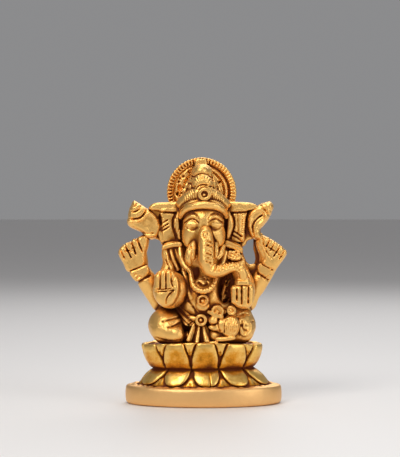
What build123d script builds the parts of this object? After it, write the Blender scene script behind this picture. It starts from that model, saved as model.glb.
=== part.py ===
from build123d import *
import os
from math import asin, copysign, cos, hypot, pi, sin, sqrt

os.makedirs("parts", exist_ok=True)

# A seated, four-armed Ganesha on a double lotus, cast in brass. Millimetres.
# +Z is up, the idol faces -Y and +X is the viewer's right.
# "right" and "left" in the names are the idol's own, so the right hand is on the -X side.

# Base. Heights below are counted from a level PLINTH_SOLE above the table, and every piece
# is raised by that much as it is written, so that the idol stands on z = 0.
PLINTH_SOLE = 0.6
PLINTH_HALF_X = 24.4
PLINTH_HALF_Y = 16.0
PLINTH_TOP = 5.2
PLINTH_TOP_ROUND = 1.1
PLINTH_FOOT_ROUND = 0.4

# The two lotus tiers are oval in plan: half depth = half width * LOTUS_OVAL.
LOTUS_OVAL = 0.655
LOTUS_WAIST = 10.5
LOTUS_SEAT = 18.0
LOWER_RINGS = [(PLINTH_TOP, 21.0), (6.8, 20.4), (8.6, 18.7), (LOTUS_WAIST, 16.0)]
UPPER_RINGS = [(LOTUS_WAIST, 15.6), (12.7, 17.4), (15.4, 18.7), (19.2, 19.3)]
LOWER_PETAL_THICKNESS = 1.4
UPPER_PETAL_THICKNESS = 1.2
PETALS_PER_TIER = 10
PETAL_SHIFT = 0.6  # the front petal stands a little to the viewer's right

# Trunk of the body: (centre, half axes)
BELLY = ((0.0, -1.2, 31.5), (9.2, 8.6, 9.0))
CHEST = ((0.0, 1.2, 42.5), (9.2, 6.2, 8.4))
HIPS = ((0.0, 1.5, 24.0), (8.0, 6.5, 6.5))
THIGH = ((10.9, -1.5, 23.6), (6.4, 7.0, 5.7))

HEAD = ((0.0, -2.6, 53.8), (7.2, 7.6, 8.6))

# Halo disc behind the crown; its top is the top of the idol.
HALO_CENTRE_X = -0.6
HALO_CENTRE_Z = 65.1
HALO_RADIUS = 10.9
HALO_RIM_WIDTH = 1.9
HALO_FRONT_Y = 3.7
HALO_BACK_Y = 5.5
HALO_RIM_PROUD = 0.5

EAR_THICKNESS = 2.4
EAR_FRONT_Y = -2.0

pieces = {}


def boxes_meet(first, second):
    """Whether two solids are close enough together to need cutting against each other."""
    a = first.bounding_box()
    b = second.bounding_box()
    low = max(a.min.X - b.max.X, a.min.Y - b.max.Y, a.min.Z - b.max.Z)
    high = max(b.min.X - a.max.X, b.min.Y - a.max.Y, b.min.Z - a.max.Z)
    return max(low, high) < 0


def add(name, shape):
    """Keep a piece under its name, cut to fit against every piece already there."""
    for other in pieces.values():
        if boxes_meet(shape, other):
            shape = shape - other
            shape = max(shape.solids(), key=lambda solid: solid.volume)
    pieces[name] = max(shape.solids(), key=lambda solid: solid.volume)


def ellipsoid(centre, half_axes, turn=(0, 0, 0)):
    """A ball stretched to three half axes, turned about its own centre."""
    return Location(centre, turn) * scale(Sphere(1.0), by=half_axes)


def bone(start, end, start_radius, end_radius):
    """Two balls and the cone that touches both, as one smooth solid of revolution."""
    axis = Vector(*end) - Vector(*start)
    length = axis.length
    lean = asin((start_radius - end_radius) / length)
    foot = (0, -start_radius)
    low = (start_radius * cos(lean), start_radius * sin(lean))
    high = (end_radius * cos(lean), length + end_radius * sin(lean))
    top = (0, length + end_radius)
    half_low = (lean - pi / 2) / 2
    half_high = (lean + pi / 2) / 2
    low_bulge = (start_radius * cos(half_low), start_radius * sin(half_low))
    high_bulge = (end_radius * cos(half_high), length + end_radius * sin(half_high))
    profile = ThreePointArc(foot, low_bulge, low) + Line(low, high)
    profile += ThreePointArc(high, high_bulge, top) + Line(top, foot)
    upright = revolve(Plane.XZ * make_face(profile), Axis.Z)
    return Plane(origin=start, z_dir=axis) * upright


def limb(points, radii):
    """Bones end to end; each is drawn in a hair at its far joint so no two balls coincide."""
    bones = []
    for start, end, first, second in zip(points, points[1:], radii, radii[1:]):
        bones.append(bone(start, end, first, 0.97 * second))
    whole = bones[0]
    for piece in bones[1:]:
        whole = whole + piece
    return whole


def tube(points, radii, upright=(0, 1, 0)):
    """A round bar of changing thickness along a smooth curve through the points."""
    path = Spline(*points)
    sections = []
    for point, radius in zip(points, radii):
        at = path.param_at_point(Vector(*point))
        along = path % at
        across = along.cross(Vector(*upright))
        sections.append(Plane(origin=path @ at, x_dir=across, z_dir=along) * Circle(radius))
    return loft(sections)


def slab(outline, front_y, back_y):
    """A flat plate standing across the idol: an outline of (x, z) points given a thickness."""
    face = make_face(Polyline(*outline, close=True))
    return extrude(Pos(0, back_y, 0) * (Plane.XZ * face), back_y - front_y)


def disc(x, z, radius, front_y, back_y):
    """A round plate facing the viewer."""
    return extrude(Pos(x, back_y, z) * (Plane.XZ * Circle(radius)), back_y - front_y)


def band(centre, along, radius, width):
    """A short cylinder round a limb."""
    return Plane(origin=centre, z_dir=along) * Cylinder(radius, width)


def mirrored(points):
    """The same points on the idol's other side."""
    return [(-x, y, z) for x, y, z in points]


def body_front(x, z):
    """The y at which the belly or the chest meets the air, straight in front of (x, z)."""
    front = 0.0
    for centre, half_axes in (BELLY, CHEST):
        left = 1 - ((x - centre[0]) / half_axes[0]) ** 2 - ((z - centre[2]) / half_axes[2]) ** 2
        if left > 0:
            front = min(front, centre[1] - half_axes[1] * sqrt(left))
    return front


def lying_on_body(points, sink):
    """Points (x, z) set on the front of the body and sunk into it by a little."""
    return [(x, body_front(x, z) + sink, z) for x, z in points]


# ---------------------------------------------------------------- base

plinth = extrude(Ellipse(PLINTH_HALF_X, PLINTH_HALF_Y), PLINTH_TOP + PLINTH_SOLE)
plinth = Pos(0, 0, -PLINTH_SOLE) * plinth
plinth = fillet(plinth.edges().group_by(Axis.Z)[-1], PLINTH_TOP_ROUND)
plinth = fillet(plinth.edges().group_by(Axis.Z)[0], PLINTH_FOOT_ROUND)
add("plinth", plinth)


def oval_drum(rings, inset):
    """A smooth drum through oval rings of (height, half width), all drawn in by the inset."""
    ovals = []
    for height, half_x in rings:
        oval = Ellipse(half_x - inset, half_x * LOTUS_OVAL - inset)
        ovals.append(Pos(0, 0, height) * oval)
    return loft(ovals)


def angle_after(distance, half_x, half_y):
    """The oval's angle, counted from its front, after walking a distance along its edge."""
    step = 0.0005
    angle = 0.0
    walked = 0.0
    while walked < abs(distance):
        walked += step * hypot(half_x * cos(angle), half_y * sin(angle))
        angle += step
    return copysign(angle, distance)


def oval_perimeter(half_x, half_y):
    """Ramanujan's length of an oval's edge."""
    return pi * (3 * (half_x + half_y) - sqrt((3 * half_x + half_y) * (half_x + 3 * half_y)))


def add_petals(tier, shell, half_x, outline, droop):
    """Cut a ring of petals from a shell: evenly spaced along the oval, each with the outline."""
    half_y = half_x * LOTUS_OVAL
    pitch = oval_perimeter(half_x, half_y) / PETALS_PER_TIER
    far = 40.0
    for number in range(PETALS_PER_TIER):
        middle = number * pitch + PETAL_SHIFT
        before, here, after = (
            angle_after(middle + part * pitch, half_x, half_y) for part in (-0.5, 0.0, 0.5)
        )
        corners = [(0, 0)]
        for angle in (before, here, after):
            corners.append((far * half_x * sin(angle), -far * half_x * LOTUS_OVAL * cos(angle)))
        wedge = extrude(make_face(Polyline(*corners, close=True)), 30.0)
        outward = Vector(half_y * sin(here), -half_x * cos(here), 0)
        sideways = Vector(half_x * cos(here), half_y * sin(here), 0)
        spot = (half_x * sin(here), -half_y * cos(here), 0)
        fall = droop * sin(here) ** 2
        bent = [(x, z - fall * (z - LOTUS_WAIST) / (LOTUS_SEAT - LOTUS_WAIST)) for x, z in outline]
        edge = Spline(*bent) + Line(bent[-1], bent[0])
        square_on = Plane(origin=spot, x_dir=sideways, z_dir=outward)
        prism = extrude(square_on * make_face(edge), 7.0, both=True)
        add(f"{tier}_petal_{number + 1:02d}", shell & prism & wedge)


LOWER_PETAL_OUTLINE = [
    (-3.8, 10.6),
    (-4.4, 8.8),
    (-4.3, 7.0),
    (-2.9, 5.7),
    (0.0, 5.25),
    (2.9, 5.7),
    (4.3, 7.0),
    (4.4, 8.8),
    (3.8, 10.6),
]
UPPER_PETAL_OUTLINE = [
    (-3.9, 10.4),
    (-4.3, 14.0),
    (-3.9, 17.4),
    (-2.9, 18.6),
    (0.0, 18.9),
    (2.9, 18.6),
    (3.9, 17.4),
    (4.3, 14.0),
    (3.9, 10.4),
]

lower_outer = oval_drum(LOWER_RINGS, 0.0)
lower_core = oval_drum(LOWER_RINGS, LOWER_PETAL_THICKNESS)
add("lower_lotus_core", lower_core)
add_petals("lower", lower_outer - lower_core, 19.0, LOWER_PETAL_OUTLINE, 0.0)

upper_outer = oval_drum(UPPER_RINGS, 0.0)
upper_inner = oval_drum(UPPER_RINGS, UPPER_PETAL_THICKNESS)
above_seat = Pos(0, 0, LOTUS_SEAT) * Box(60, 60, 10, align=(Align.CENTER, Align.CENTER, Align.MIN))
add("upper_lotus_core", upper_inner - above_seat)
add_petals("upper", upper_outer - upper_inner, 18.0, UPPER_PETAL_OUTLINE, 1.3)

# ---------------------------------------------------------------- body

torso = ellipsoid(*BELLY) + ellipsoid(*CHEST) + ellipsoid(*HIPS)
add("torso", torso)

THIGH_CENTRE, THIGH_HALF_AXES = THIGH
for side, sign in (("right", -1), ("left", 1)):
    thigh = ellipsoid((sign * THIGH_CENTRE[0], THIGH_CENTRE[1], THIGH_CENTRE[2]), THIGH_HALF_AXES)
    shin = bone((sign * 12.2, -4.6, 21.6), (sign * 2.9, -8.6, 20.7), 3.9, 2.8)
    add(f"{side}_leg", thigh + shin)

add("head", ellipsoid(*HEAD))

# ---------------------------------------------------------------- headgear

crown_profile = Polyline(
    (0, 57.0),
    (7.2, 57.0),
    (7.0, 61.0),
    (6.3, 64.6),
    (5.4, 67.2),
    (3.6, 68.4),
    (3.4, 69.4),
    (3.5, 71.2),
    (2.6, 73.0),
    (0, 73.8),
    close=True,
)
crown = revolve(Plane.XZ * make_face(crown_profile), Axis.Z)
CROWN_DEPTH_RATIO = 0.72
CROWN_CENTRE_Y = -0.8
crown = Pos(0, CROWN_CENTRE_Y, 0) * scale(crown, by=(1.0, CROWN_DEPTH_RATIO, 1.0))
add("crown", crown)

halo_hub_radius = HALO_RADIUS - HALO_RIM_WIDTH
halo = disc(HALO_CENTRE_X, HALO_CENTRE_Z, halo_hub_radius, HALO_FRONT_Y, HALO_BACK_Y)
add("halo", halo)
rim_front = HALO_FRONT_Y - HALO_RIM_PROUD
rim_back = HALO_BACK_Y + HALO_RIM_PROUD
halo_rim = disc(HALO_CENTRE_X, HALO_CENTRE_Z, HALO_RADIUS, rim_front, rim_back)
halo_rim -= disc(HALO_CENTRE_X, HALO_CENTRE_Z, halo_hub_radius, rim_front - 1, rim_back + 1)
halo_rim = fillet(halo_rim.edges().filter_by(GeomType.CIRCLE), 0.5)
add("halo_rim", halo_rim)

# The ear's flat top runs out level and its flap narrows down to the shoulder.
EAR_OUTLINE = [
    (5.6, 61.0),
    (8.9, 62.0),
    (15.5, 61.7),
    (16.9, 60.6),
    (16.7, 59.6),
    (15.0, 57.8),
    (13.4, 55.4),
    (13.1, 51.0),
    (11.6, 49.5),
    (7.6, 49.3),
    (5.6, 50.8),
]
for side, sign in (("right", -1), ("left", 1)):
    outline = [(sign * x, z) for x, z in EAR_OUTLINE]
    ear = slab(outline, EAR_FRONT_Y, EAR_FRONT_Y + EAR_THICKNESS)
    add(f"{side}_ear", ear)

half_headband = [(7.5, -3.6, 57.4), (5.5, -7.4, 59.6)]
headband_points = mirrored(half_headband) + [(0, -9.2, 60.7)] + half_headband[::-1]
add("headband", tube(headband_points, [1.15] * 5, upright=(0, 0, 1)))

half_diadem = [(8.3, -2.6, 60.0), (4.9, -5.9, 62.4)]
diadem_points = mirrored(half_diadem) + [(0, -6.9, 63.2)] + half_diadem[::-1]
add("diadem", tube(diadem_points, [0.9, 1.6, 2.0, 1.6, 0.9], upright=(0, 0, 1)))

boss = disc(0.0, 65.0, 1.9, -8.6, -4.0)
FAN_HALF = [(1.6, 65.2), (3.3, 67.4), (2.3, 70.0)]
fan_outline = [(-x, z) for x, z in FAN_HALF] + [(0, 70.9)] + FAN_HALF[::-1]
fan = slab(fan_outline, -6.8, -2.0)
add("crown_boss", boss + fan)

# ---------------------------------------------------------------- trunk and tusks

TRUNK_POINTS = [
    (0.3, -8.2, 56.0),
    (0.5, -9.8, 51.8),
    (0.6, -11.0, 47.4),
    (1.2, -11.6, 43.4),
    (3.9, -11.7, 41.0),
    (7.2, -11.6, 41.6),
    (10.2, -11.6, 42.0),
    (12.2, -11.6, 40.8),
    (12.9, -11.6, 38.6),
]
TRUNK_RADII = [2.0, 2.2, 2.6, 2.6, 2.4, 2.1, 1.8, 1.5, 1.3]
add("trunk", limb(TRUNK_POINTS, TRUNK_RADII))

add("right_tusk", bone((-3.2, -7.0, 49.0), (-4.6, -9.4, 44.6), 1.5, 0.8))
add("left_tusk", bone((3.8, -7.0, 48.8), (5.6, -9.2, 45.0), 1.4, 0.6))

# ---------------------------------------------------------------- rear arms and what they hold

for side, sign in (("right", -1), ("left", 1)):
    shoulder = (sign * 7.5, 3.0, 43.0)
    elbow = (sign * 13.6, 2.0, 30.8)
    forearm = (sign * 17.1, 1.2, 36.6)
    wrist = (sign * 20.8, 0.6, 42.4)
    add(f"rear_{side}_arm", limb([shoulder, elbow, forearm, wrist], [3.3, 3.1, 2.9, 2.4]))

    along = Vector(*wrist) - Vector(*forearm)
    cuff = band((sign * 20.4, 0.7, 41.7), along, 3.2, 2.4)
    add(f"rear_{side}_bracelet", cuff)

    # Four short fingers side by side on a broad palm, all leaning outwards.
    hand = ellipsoid((sign * 21.4, 0.2, 45.2), (4.3, 1.9, 4.2), (0, sign * 30, 0))
    for finger in range(4):
        root = (sign * (23.4 - 1.5 * finger), -0.4, 45.2 + 1.0 * finger)
        tip = (sign * (25.4 - 1.75 * finger), -0.4, 47.7 + 1.05 * finger)
        hand = hand + bone(root, tip, 1.15, 1.05)
    add(f"rear_{side}_hand", hand)

shell_body = ellipsoid((-18.6, 0.2, 55.4), (5.2, 2.9, 3.7), (0, 20, 0))
shell_foot = bone((-17.2, 0.2, 54.0), (-17.6, 0.2, 50.6), 2.4, 1.5)
shell_spire = bone((-20.0, 0.2, 57.6), (-21.6, 0.2, 61.4), 3.2, 0.9)
add("conch", shell_body + shell_foot + shell_spire)

goad_stem = bone((17.2, 0.2, 50.8), (16.2, 0.2, 55.0), 1.6, 2.6)
goad_curl = bone((16.9, 0.2, 57.4), (17.7, 0.2, 58.2), 3.1, 3.0)
goad_tip = bone((18.3, 0.2, 58.6), (20.9, 0.2, 61.3), 2.9, 0.9)
add("goad", goad_stem + goad_curl + goad_tip)

# ---------------------------------------------------------------- front arms

# Raised in blessing: the elbow at the side, the palm facing forwards.
upper = limb([(-9.3, -0.4, 47.2), (-11.2, -2.2, 40.5), (-11.8, -3.5, 33.5)], [3.5, 3.4, 3.6])
forearm = ellipsoid((-10.6, -7.2, 34.6), (5.0, 5.2, 5.6))
add("front_right_arm", upper + forearm)

palm = ellipsoid((-11.2, -11.6, 34.0), (4.1, 1.9, 4.4))
FINGER_TIPS = [(-14.1, 39.6), (-12.6, 40.6), (-11.1, 40.5), (-9.6, 39.4)]
for tip_x, tip_z in FINGER_TIPS:
    root = (0.9 * tip_x - 1.1, -11.7, 35.4)
    palm = palm + bone(root, (tip_x, -11.7, tip_z), 1.1, 0.95)
palm = palm + bone((-8.8, -11.2, 34.4), (-7.9, -11.0, 37.0), 1.2, 0.9)
add("front_right_hand", palm)

# Resting on the knee: the arm comes forwards and the fingers hang down in front.
arm_points = [(9.0, -0.4, 47.2), (11.8, -2.5, 41.0), (13.6, -4.0, 35.6), (12.6, -8.6, 36.6)]
add("front_left_arm", limb(arm_points, [3.5, 3.3, 3.2, 2.8]))
add("front_left_bracelet", band((12.3, -10.6, 37.6), (0, 0.15, 1), 3.0, 1.6))
back_of_hand = ellipsoid((12.1, -11.0, 34.6), (3.6, 1.9, 3.2))
for finger in range(4):
    root = (9.6 + 1.7 * finger, -11.5, 34.8)
    tip = (9.4 + 1.75 * finger, -11.2, 30.6 if finger in (1, 2) else 31.2)
    back_of_hand = back_of_hand + bone(root, tip, 1.1, 1.0)
add("front_left_hand", back_of_hand)

add("right_armlet", band((-9.5, -0.8, 47.9), (-0.2, 0.25, 1), 4.0, 1.6))
add("left_armlet", band((9.5, -0.8, 47.7), (0.35, 0.25, 1), 4.0, 1.6))

# ---------------------------------------------------------------- dress and the mouse

NECKLACE_LINE = [
    (-6.6, 47.0),
    (-6.2, 42.5),
    (-4.6, 37.5),
    (-0.4, 34.8),
    (3.6, 36.8),
    (5.8, 41.0),
    (6.6, 46.5),
]
add("necklace", tube(lying_on_body(NECKLACE_LINE, -0.3), [0.95] * 7))

SASH_LINE = [(-6.6, 28.0), (-3.6, 26.9), (0.0, 26.5), (3.6, 26.9), (6.6, 28.0)]
add("waist_sash", tube(lying_on_body(SASH_LINE, -0.1), [1.1] * 5, upright=(0, 0, 1)))

medallion_y = body_front(-0.2, 32.2)
add("navel_medallion", disc(-0.2, 32.2, 1.9, medallion_y - 0.9, medallion_y + 2.0))
buckle_y = body_front(-0.8, 26.0)
add("belt_buckle", disc(-0.8, 26.0, 1.65, buckle_y - 1.9, buckle_y + 1.5))

tassel = slab([(-2.0, 24.6), (-4.2, 18.1), (2.9, 18.1), (0.8, 24.6)], -10.6, -4.0)
add("sash_tassel", tassel)

mouse = ellipsoid((8.0, -10.2, 23.0), (3.5, 2.6, 3.9), (0, 20, 0))
mouse = mouse + ellipsoid((3.9, -10.4, 24.4), (2.4, 1.9, 1.9))
for ear_x, ear_z, ear_radius in ((4.8, 28.4, 1.8), (8.4, 28.8, 1.5)):
    mouse = mouse + bone((ear_x, -10.2, ear_z - 2.6), (ear_x, -10.2, ear_z), 1.6, ear_radius)
mouse = mouse + bone((4.2, -11.2, 19.5), (10.2, -10.9, 19.8), 0.9, 1.1)
add("mouse", mouse)

for name, piece in pieces.items():
    export_step(Pos(0, 0, PLINTH_SOLE) * piece, f"parts/{name}.step")
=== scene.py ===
import math

import bpy
import numpy as np
import openvdb
from mathutils import Euler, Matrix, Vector


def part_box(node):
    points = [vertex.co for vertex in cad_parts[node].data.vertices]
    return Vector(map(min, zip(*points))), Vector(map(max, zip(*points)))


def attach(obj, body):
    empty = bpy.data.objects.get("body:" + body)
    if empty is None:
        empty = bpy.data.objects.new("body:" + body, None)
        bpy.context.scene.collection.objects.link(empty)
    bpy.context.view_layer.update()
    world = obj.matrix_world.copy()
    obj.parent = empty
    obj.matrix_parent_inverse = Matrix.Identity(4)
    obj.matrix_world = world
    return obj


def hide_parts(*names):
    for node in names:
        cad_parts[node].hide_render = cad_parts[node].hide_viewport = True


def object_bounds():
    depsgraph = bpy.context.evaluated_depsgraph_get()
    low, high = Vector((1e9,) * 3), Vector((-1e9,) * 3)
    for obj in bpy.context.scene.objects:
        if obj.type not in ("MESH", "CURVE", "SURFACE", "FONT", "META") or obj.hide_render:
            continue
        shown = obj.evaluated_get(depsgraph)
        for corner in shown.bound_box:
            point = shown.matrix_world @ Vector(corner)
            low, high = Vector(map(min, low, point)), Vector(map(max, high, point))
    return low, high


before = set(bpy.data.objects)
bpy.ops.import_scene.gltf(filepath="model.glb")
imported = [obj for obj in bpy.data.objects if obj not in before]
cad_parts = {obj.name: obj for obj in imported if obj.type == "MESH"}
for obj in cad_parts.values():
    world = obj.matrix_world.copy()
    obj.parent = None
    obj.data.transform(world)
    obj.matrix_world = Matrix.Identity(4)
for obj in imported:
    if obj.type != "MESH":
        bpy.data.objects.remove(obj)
cad_low, cad_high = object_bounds()

# The idol is sculpted as blocks of distance values ("clay") on one shared lattice, in
# millimetres: +Z up, facing -Y, +X to the viewer's right.
# Heights are counted from a level PLINTH_SOLE above the table, as in the CAD source.
IDOL_HEIGHT = 76.6
PLINTH_SOLE = 0.6
MM = (cad_high[2] - cad_low[2]) / IDOL_HEIGHT
BASE = np.array([0.0, 0.0, cad_low[2] / MM + PLINTH_SOLE])
CELL = 0.2
FAR = 6.0
MARGIN = 1.6
rng = np.random.default_rng(11)


# ---------------------------------------------------------------- paths and outlines

def smooth(points, closed=False, steps=6):
    """Points along a smooth curve through the given ones (Catmull-Rom)."""
    p = np.array(points, float)
    n = len(p)
    if n < 3:
        return p
    if closed:
        padded = np.vstack([p[-1], p, p[0], p[1]])
        spans = n
    else:
        padded = np.vstack([2 * p[0] - p[1], p, 2 * p[-1] - p[-2]])
        spans = n - 1
    out = []
    for i in range(spans):
        a, b, c, d = padded[i:i + 4]
        for t in np.arange(steps) / steps:
            out.append(0.5 * (2 * b + (c - a) * t + (2 * a - 5 * b + 4 * c - d) * t ** 2
                + (3 * b - a - 3 * c + d) * t ** 3))
    if not closed:
        out.append(p[-1])
    return np.array(out)


def flip(points, side):
    """The same (x, z) or (x, y, z) points on the side given by the sign."""
    return [(side * p[0],) + tuple(p[1:]) for p in points]


def mirrored(left):
    """A symmetric outline from its left half, whose last point is on the axis."""
    return left + flip(left[-2::-1], -1)


def line_distance(u, v, path):
    """Distance in the (u, v) plane to a polyline."""
    best = np.full(np.broadcast(u, v).shape, 1e9)
    for a, b in zip(path[:-1], path[1:]):
        du, dv = b - a
        t = np.clip(((u - a[0]) * du + (v - a[1]) * dv) / max(du * du + dv * dv, 1e-9), 0, 1)
        best = np.minimum(best, np.hypot(u - a[0] - t * du, v - a[1] - t * dv))
    return best


def outline_distance(u, v, path):
    """Signed distance in the (u, v) plane to a closed outline; inside is negative."""
    inside = np.zeros(np.broadcast(u, v).shape, bool)
    ring = np.vstack([path, path[0]])
    for a, b in zip(ring[:-1], ring[1:]):
        if a[1] == b[1]:
            continue
        crosses = (a[1] > v) != (b[1] > v)
        inside ^= crosses & (u < (b[0] - a[0]) * (v - a[1]) / (b[1] - a[1]) + a[0])
    return np.where(inside, -1.0, 1.0) * line_distance(u, v, ring)


# ---------------------------------------------------------------- shapes: (low, high, distance)

def egg(centre, radii, turn=(0, 0, 0)):
    """An ellipsoid with half axes, turned by degrees about its centre."""
    c, r = np.array(centre, float), np.array(radii, float)
    reach = r if not any(turn) else np.full(3, r.max())
    m = np.array(Euler([math.radians(a) for a in turn]).to_matrix())

    def distance(x, y, z):
        p = (x - c[0], y - c[1], z - c[2])
        if any(turn):
            p = [m[0][i] * p[0] + m[1][i] * p[1] + m[2][i] * p[2] for i in range(3)]
        near = np.sqrt(sum((q / s) ** 2 for q, s in zip(p, r)))
        slope = np.sqrt(sum((q / s ** 2) ** 2 for q, s in zip(p, r)))
        return near * (near - 1) / np.maximum(slope, 1e-6)

    return c - reach, c + reach, distance


def rope(points, radii):
    """A round bar along a smooth path, with its radius given at each point."""
    p = smooth(points, steps=5)
    r = smooth([(a, 0) for a in radii], steps=5)[:, 0]
    reach = r.max() + 0.5

    def distance(x, y, z):
        best = np.full(np.broadcast(x, y, z).shape, 1e9, np.float32)
        for a, b, ra, rb in zip(p[:-1], p[1:], r[:-1], r[1:]):
            d = b - a
            size = max(float(d @ d), 1e-9)
            t = np.clip(((x - a[0]) * d[0] + (y - a[1]) * d[1] + (z - a[2]) * d[2]) / size, 0, 1)
            gap = np.sqrt((x - a[0] - t * d[0]) ** 2 + (y - a[1] - t * d[1]) ** 2
                + (z - a[2] - t * d[2]) ** 2)
            best = np.minimum(best, gap - (ra + (rb - ra) * t))
        return best

    return p.min(0) - reach, p.max(0) + reach, distance


def rod(start, end, start_radius, end_radius):
    """A round-ended bar between two points."""
    return rope([start, end], [start_radius, end_radius])


def rounded(a, b, rounding):
    """The overlap of two distances with its edge rounded."""
    a, b = a + rounding, b + rounding
    return np.hypot(np.maximum(a, 0), np.maximum(b, 0)) + np.minimum(np.maximum(a, b), 0) - rounding


def slab(flat, low, high, front, back, rounding):
    """A slab facing the viewer: flat is its signed distance in the (x, z) plane."""
    def distance(x, y, z):
        return rounded(flat(x, z), np.abs(y - (front + back) / 2) - (back - front) / 2, rounding)

    return np.array([low[0], front, low[1]]), np.array([high[0], back, high[1]]), distance


def plate(outline, front, back, rounding):
    """A slab with an (x, z) outline."""
    path = smooth(outline, closed=True, steps=5)
    return slab(lambda x, z: outline_distance(x, z, path), path.min(0), path.max(0), front, back, rounding)


def hoop(x0, z0, radius, thick, front, back, rounding):
    """A flat ring."""
    reach = radius + thick / 2
    return slab(lambda x, z: np.abs(np.hypot(x - x0, z - z0) - radius) - thick / 2,
        (x0 - reach, z0 - reach), (x0 + reach, z0 + reach), front, back, rounding)


def button(x0, z0, radius, front, back, rounding):
    """A flat disc."""
    return slab(lambda x, z: np.hypot(x - x0, z - z0) - radius, (x0 - radius, z0 - radius),
        (x0 + radius, z0 + radius), front, back, rounding)


def pillow(outline, middle, thickness, edge, bend=0.0):
    """A padded form with an (x, z) outline: of full thickness inside, rounded over the width of its
    edge, and with its sides swept back by the bend."""
    path = smooth(outline, closed=True, steps=5)
    low, high = path.min(0), path.max(0)
    half = thickness / 2
    swept = bend * max(low[0] ** 2, high[0] ** 2)

    def distance(x, y, z):
        flat = outline_distance(x, z, path)
        depth = np.clip(-flat / edge, 0, 1)
        swell = half * np.sqrt(np.maximum(1 - (1 - depth) ** 2, 0))
        away = np.abs(y - middle - bend * x ** 2)
        inside = (away - swell) * 0.75
        outside = np.hypot(np.maximum(flat, 0), away)
        return np.where(flat > 0, outside, inside)

    return (np.array([low[0], middle - half, low[1]]), np.array([high[0], middle + half + swept, high[1]]),
        distance)


def lathe(profile, centre, depth_ratio):
    """A turned form: (z, radius) profile about a vertical axis, squeezed front to back."""
    zs = np.array([p[0] for p in profile], float)
    rs = np.array([p[1] for p in profile], float)

    def distance(x, y, z):
        radius = np.interp(z, zs, rs)
        away = np.sqrt((x - centre[0]) ** 2 + ((y - centre[1]) / depth_ratio) ** 2)
        side = (away - radius) * 0.8
        ends = np.maximum(zs[0] - z, z - zs[-1])
        return np.maximum(side, ends)

    reach = rs.max()
    low = np.array([centre[0] - reach, centre[1] - reach * depth_ratio, zs[0]])
    high = np.array([centre[0] + reach, centre[1] + reach * depth_ratio, zs[-1]])
    return low, high, distance


# ---------------------------------------------------------------- clay

def blend_min(a, b, blend):
    """The nearer of two distances, with a fillet of about the blend's size where they meet."""
    if blend <= 0:
        return np.minimum(a, b)
    h = np.clip(blend - np.abs(a - b), 0, None) / blend
    return np.minimum(a, b) - h * h * blend * 0.25


class Clay:
    """One piece: a block of distances to its surface, as large as its CAD node's box and a margin."""

    def __init__(self, name, slot):
        low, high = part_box(name)
        low = np.array(low) / MM - BASE - MARGIN
        high = np.array(high) / MM - BASE + MARGIN
        self.name, self.slot = name, slot
        self.start = np.floor(low / CELL).astype(int)
        self.count = np.ceil(high / CELL).astype(int) - self.start + 1
        self.field = np.full(self.count, FAR, np.float32)

    def window(self, low, high):
        """The part of the block between two corners: its slices and its x, y and z."""
        a = np.clip(np.floor(np.array(low) / CELL).astype(int) - self.start, 0, self.count)
        b = np.clip(np.ceil(np.array(high) / CELL).astype(int) + 1 - self.start, 0, self.count)
        axes = [(np.arange(i, j) + s) * CELL for i, j, s in zip(a, b, self.start)]
        where = tuple(slice(i, j) for i, j in zip(a, b))
        return where, axes[0][:, None, None], axes[1][None, :, None], axes[2][None, None, :]

    def whole(self):
        """The window that takes in the whole block."""
        return self.window(self.start * CELL, (self.start + self.count) * CELL)

    def add(self, shape, blend=0.0):
        """Join a shape to the piece, with a fillet of about the blend's size."""
        low, high, distance = shape
        pad = 2.0 + blend
        where, x, y, z = self.window(low - pad, high + pad)
        self.field[where] = blend_min(self.field[where], distance(x, y, z), blend)

    def cut(self, shape, blend):
        """Cut a shape away."""
        low, high, distance = shape
        where, x, y, z = self.window(low - 1.0, high + 1.0)
        self.field[where] = -blend_min(-self.field[where], distance(x, y, z), blend)

    def keep(self, shape, blend):
        """Cut away everything outside the shape."""
        where, x, y, z = self.whole()
        self.field[where] = -blend_min(-self.field[where], -shape[2](x, y, z), blend)

    def score(self, lines, width, depth, behind=None, curved=True):
        """Cut lines, given as (x, z) points, into the front; a depth below zero raises ridges.

        behind is the y where they stop, or else they stop halfway through the block."""
        limit = self.start[1] * CELL + self.count[1] * CELL * 0.5 if behind is None else behind
        for line in lines:
            path = smooth(line) if curved else np.array(line, float)
            low, high = path.min(0) - 3 * width, path.max(0) + 3 * width
            where, x, y, z = self.window((low[0], -99, low[1]), (high[0], 99, high[1]))
            d = line_distance(x[:, :, 0][:, :, None], z, path)
            uneven = 0.92 + 0.2 * np.sin(1.9 * x + 0.7 * z) * np.sin(2.3 * z - 0.8 * x)
            uneven = uneven + 0.14 * np.sin(4.1 * x - 3.3 * z)
            push = depth * uneven * np.exp(-(d / width) ** 2) * np.clip((limit - y) / 0.6, 0, 1)
            self.field[where] += push.astype(np.float32)

    def dots(self, points, width, depth, behind=None):
        """Press small round pits at (x, z) points into the front."""
        self.score([[p, (p[0] + 0.01, p[1])] for p in points], width, depth, behind, curved=False)


made = {}


def clay(name, slot="antique_brass"):
    """Start the piece that replaces the CAD node of this name."""
    made[name] = Clay(name, slot)
    return made[name]


def scatter(count, low, high):
    """Seeded random (x, z) points in a rectangle."""
    return rng.uniform(low, high, (count, 2))


# ---------------------------------------------------------------- plinth and lotus

# The plinth's half width, half depth and top, and how far its sole starts off the table.
PLINTH = (24.4, 16, 5.2)
SOLE_LIFT = 0.07
# The beads on top of it, and the half sizes of their ring.
BEADS = 90
BEAD_RING = (21.6, 14.1)
# The lotus: its depth over its width, the height where its tiers meet, and the petals of a tier.
OVAL = 0.655
WAIST = 10.5
PETALS = 10
# How far a petal swells, the width of its rounded edge, and how far its back lies inside the wall.
PETAL_SWELL = 0.62
PETAL_EDGE = 2.6
PETAL_BACK = 2.2


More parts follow.
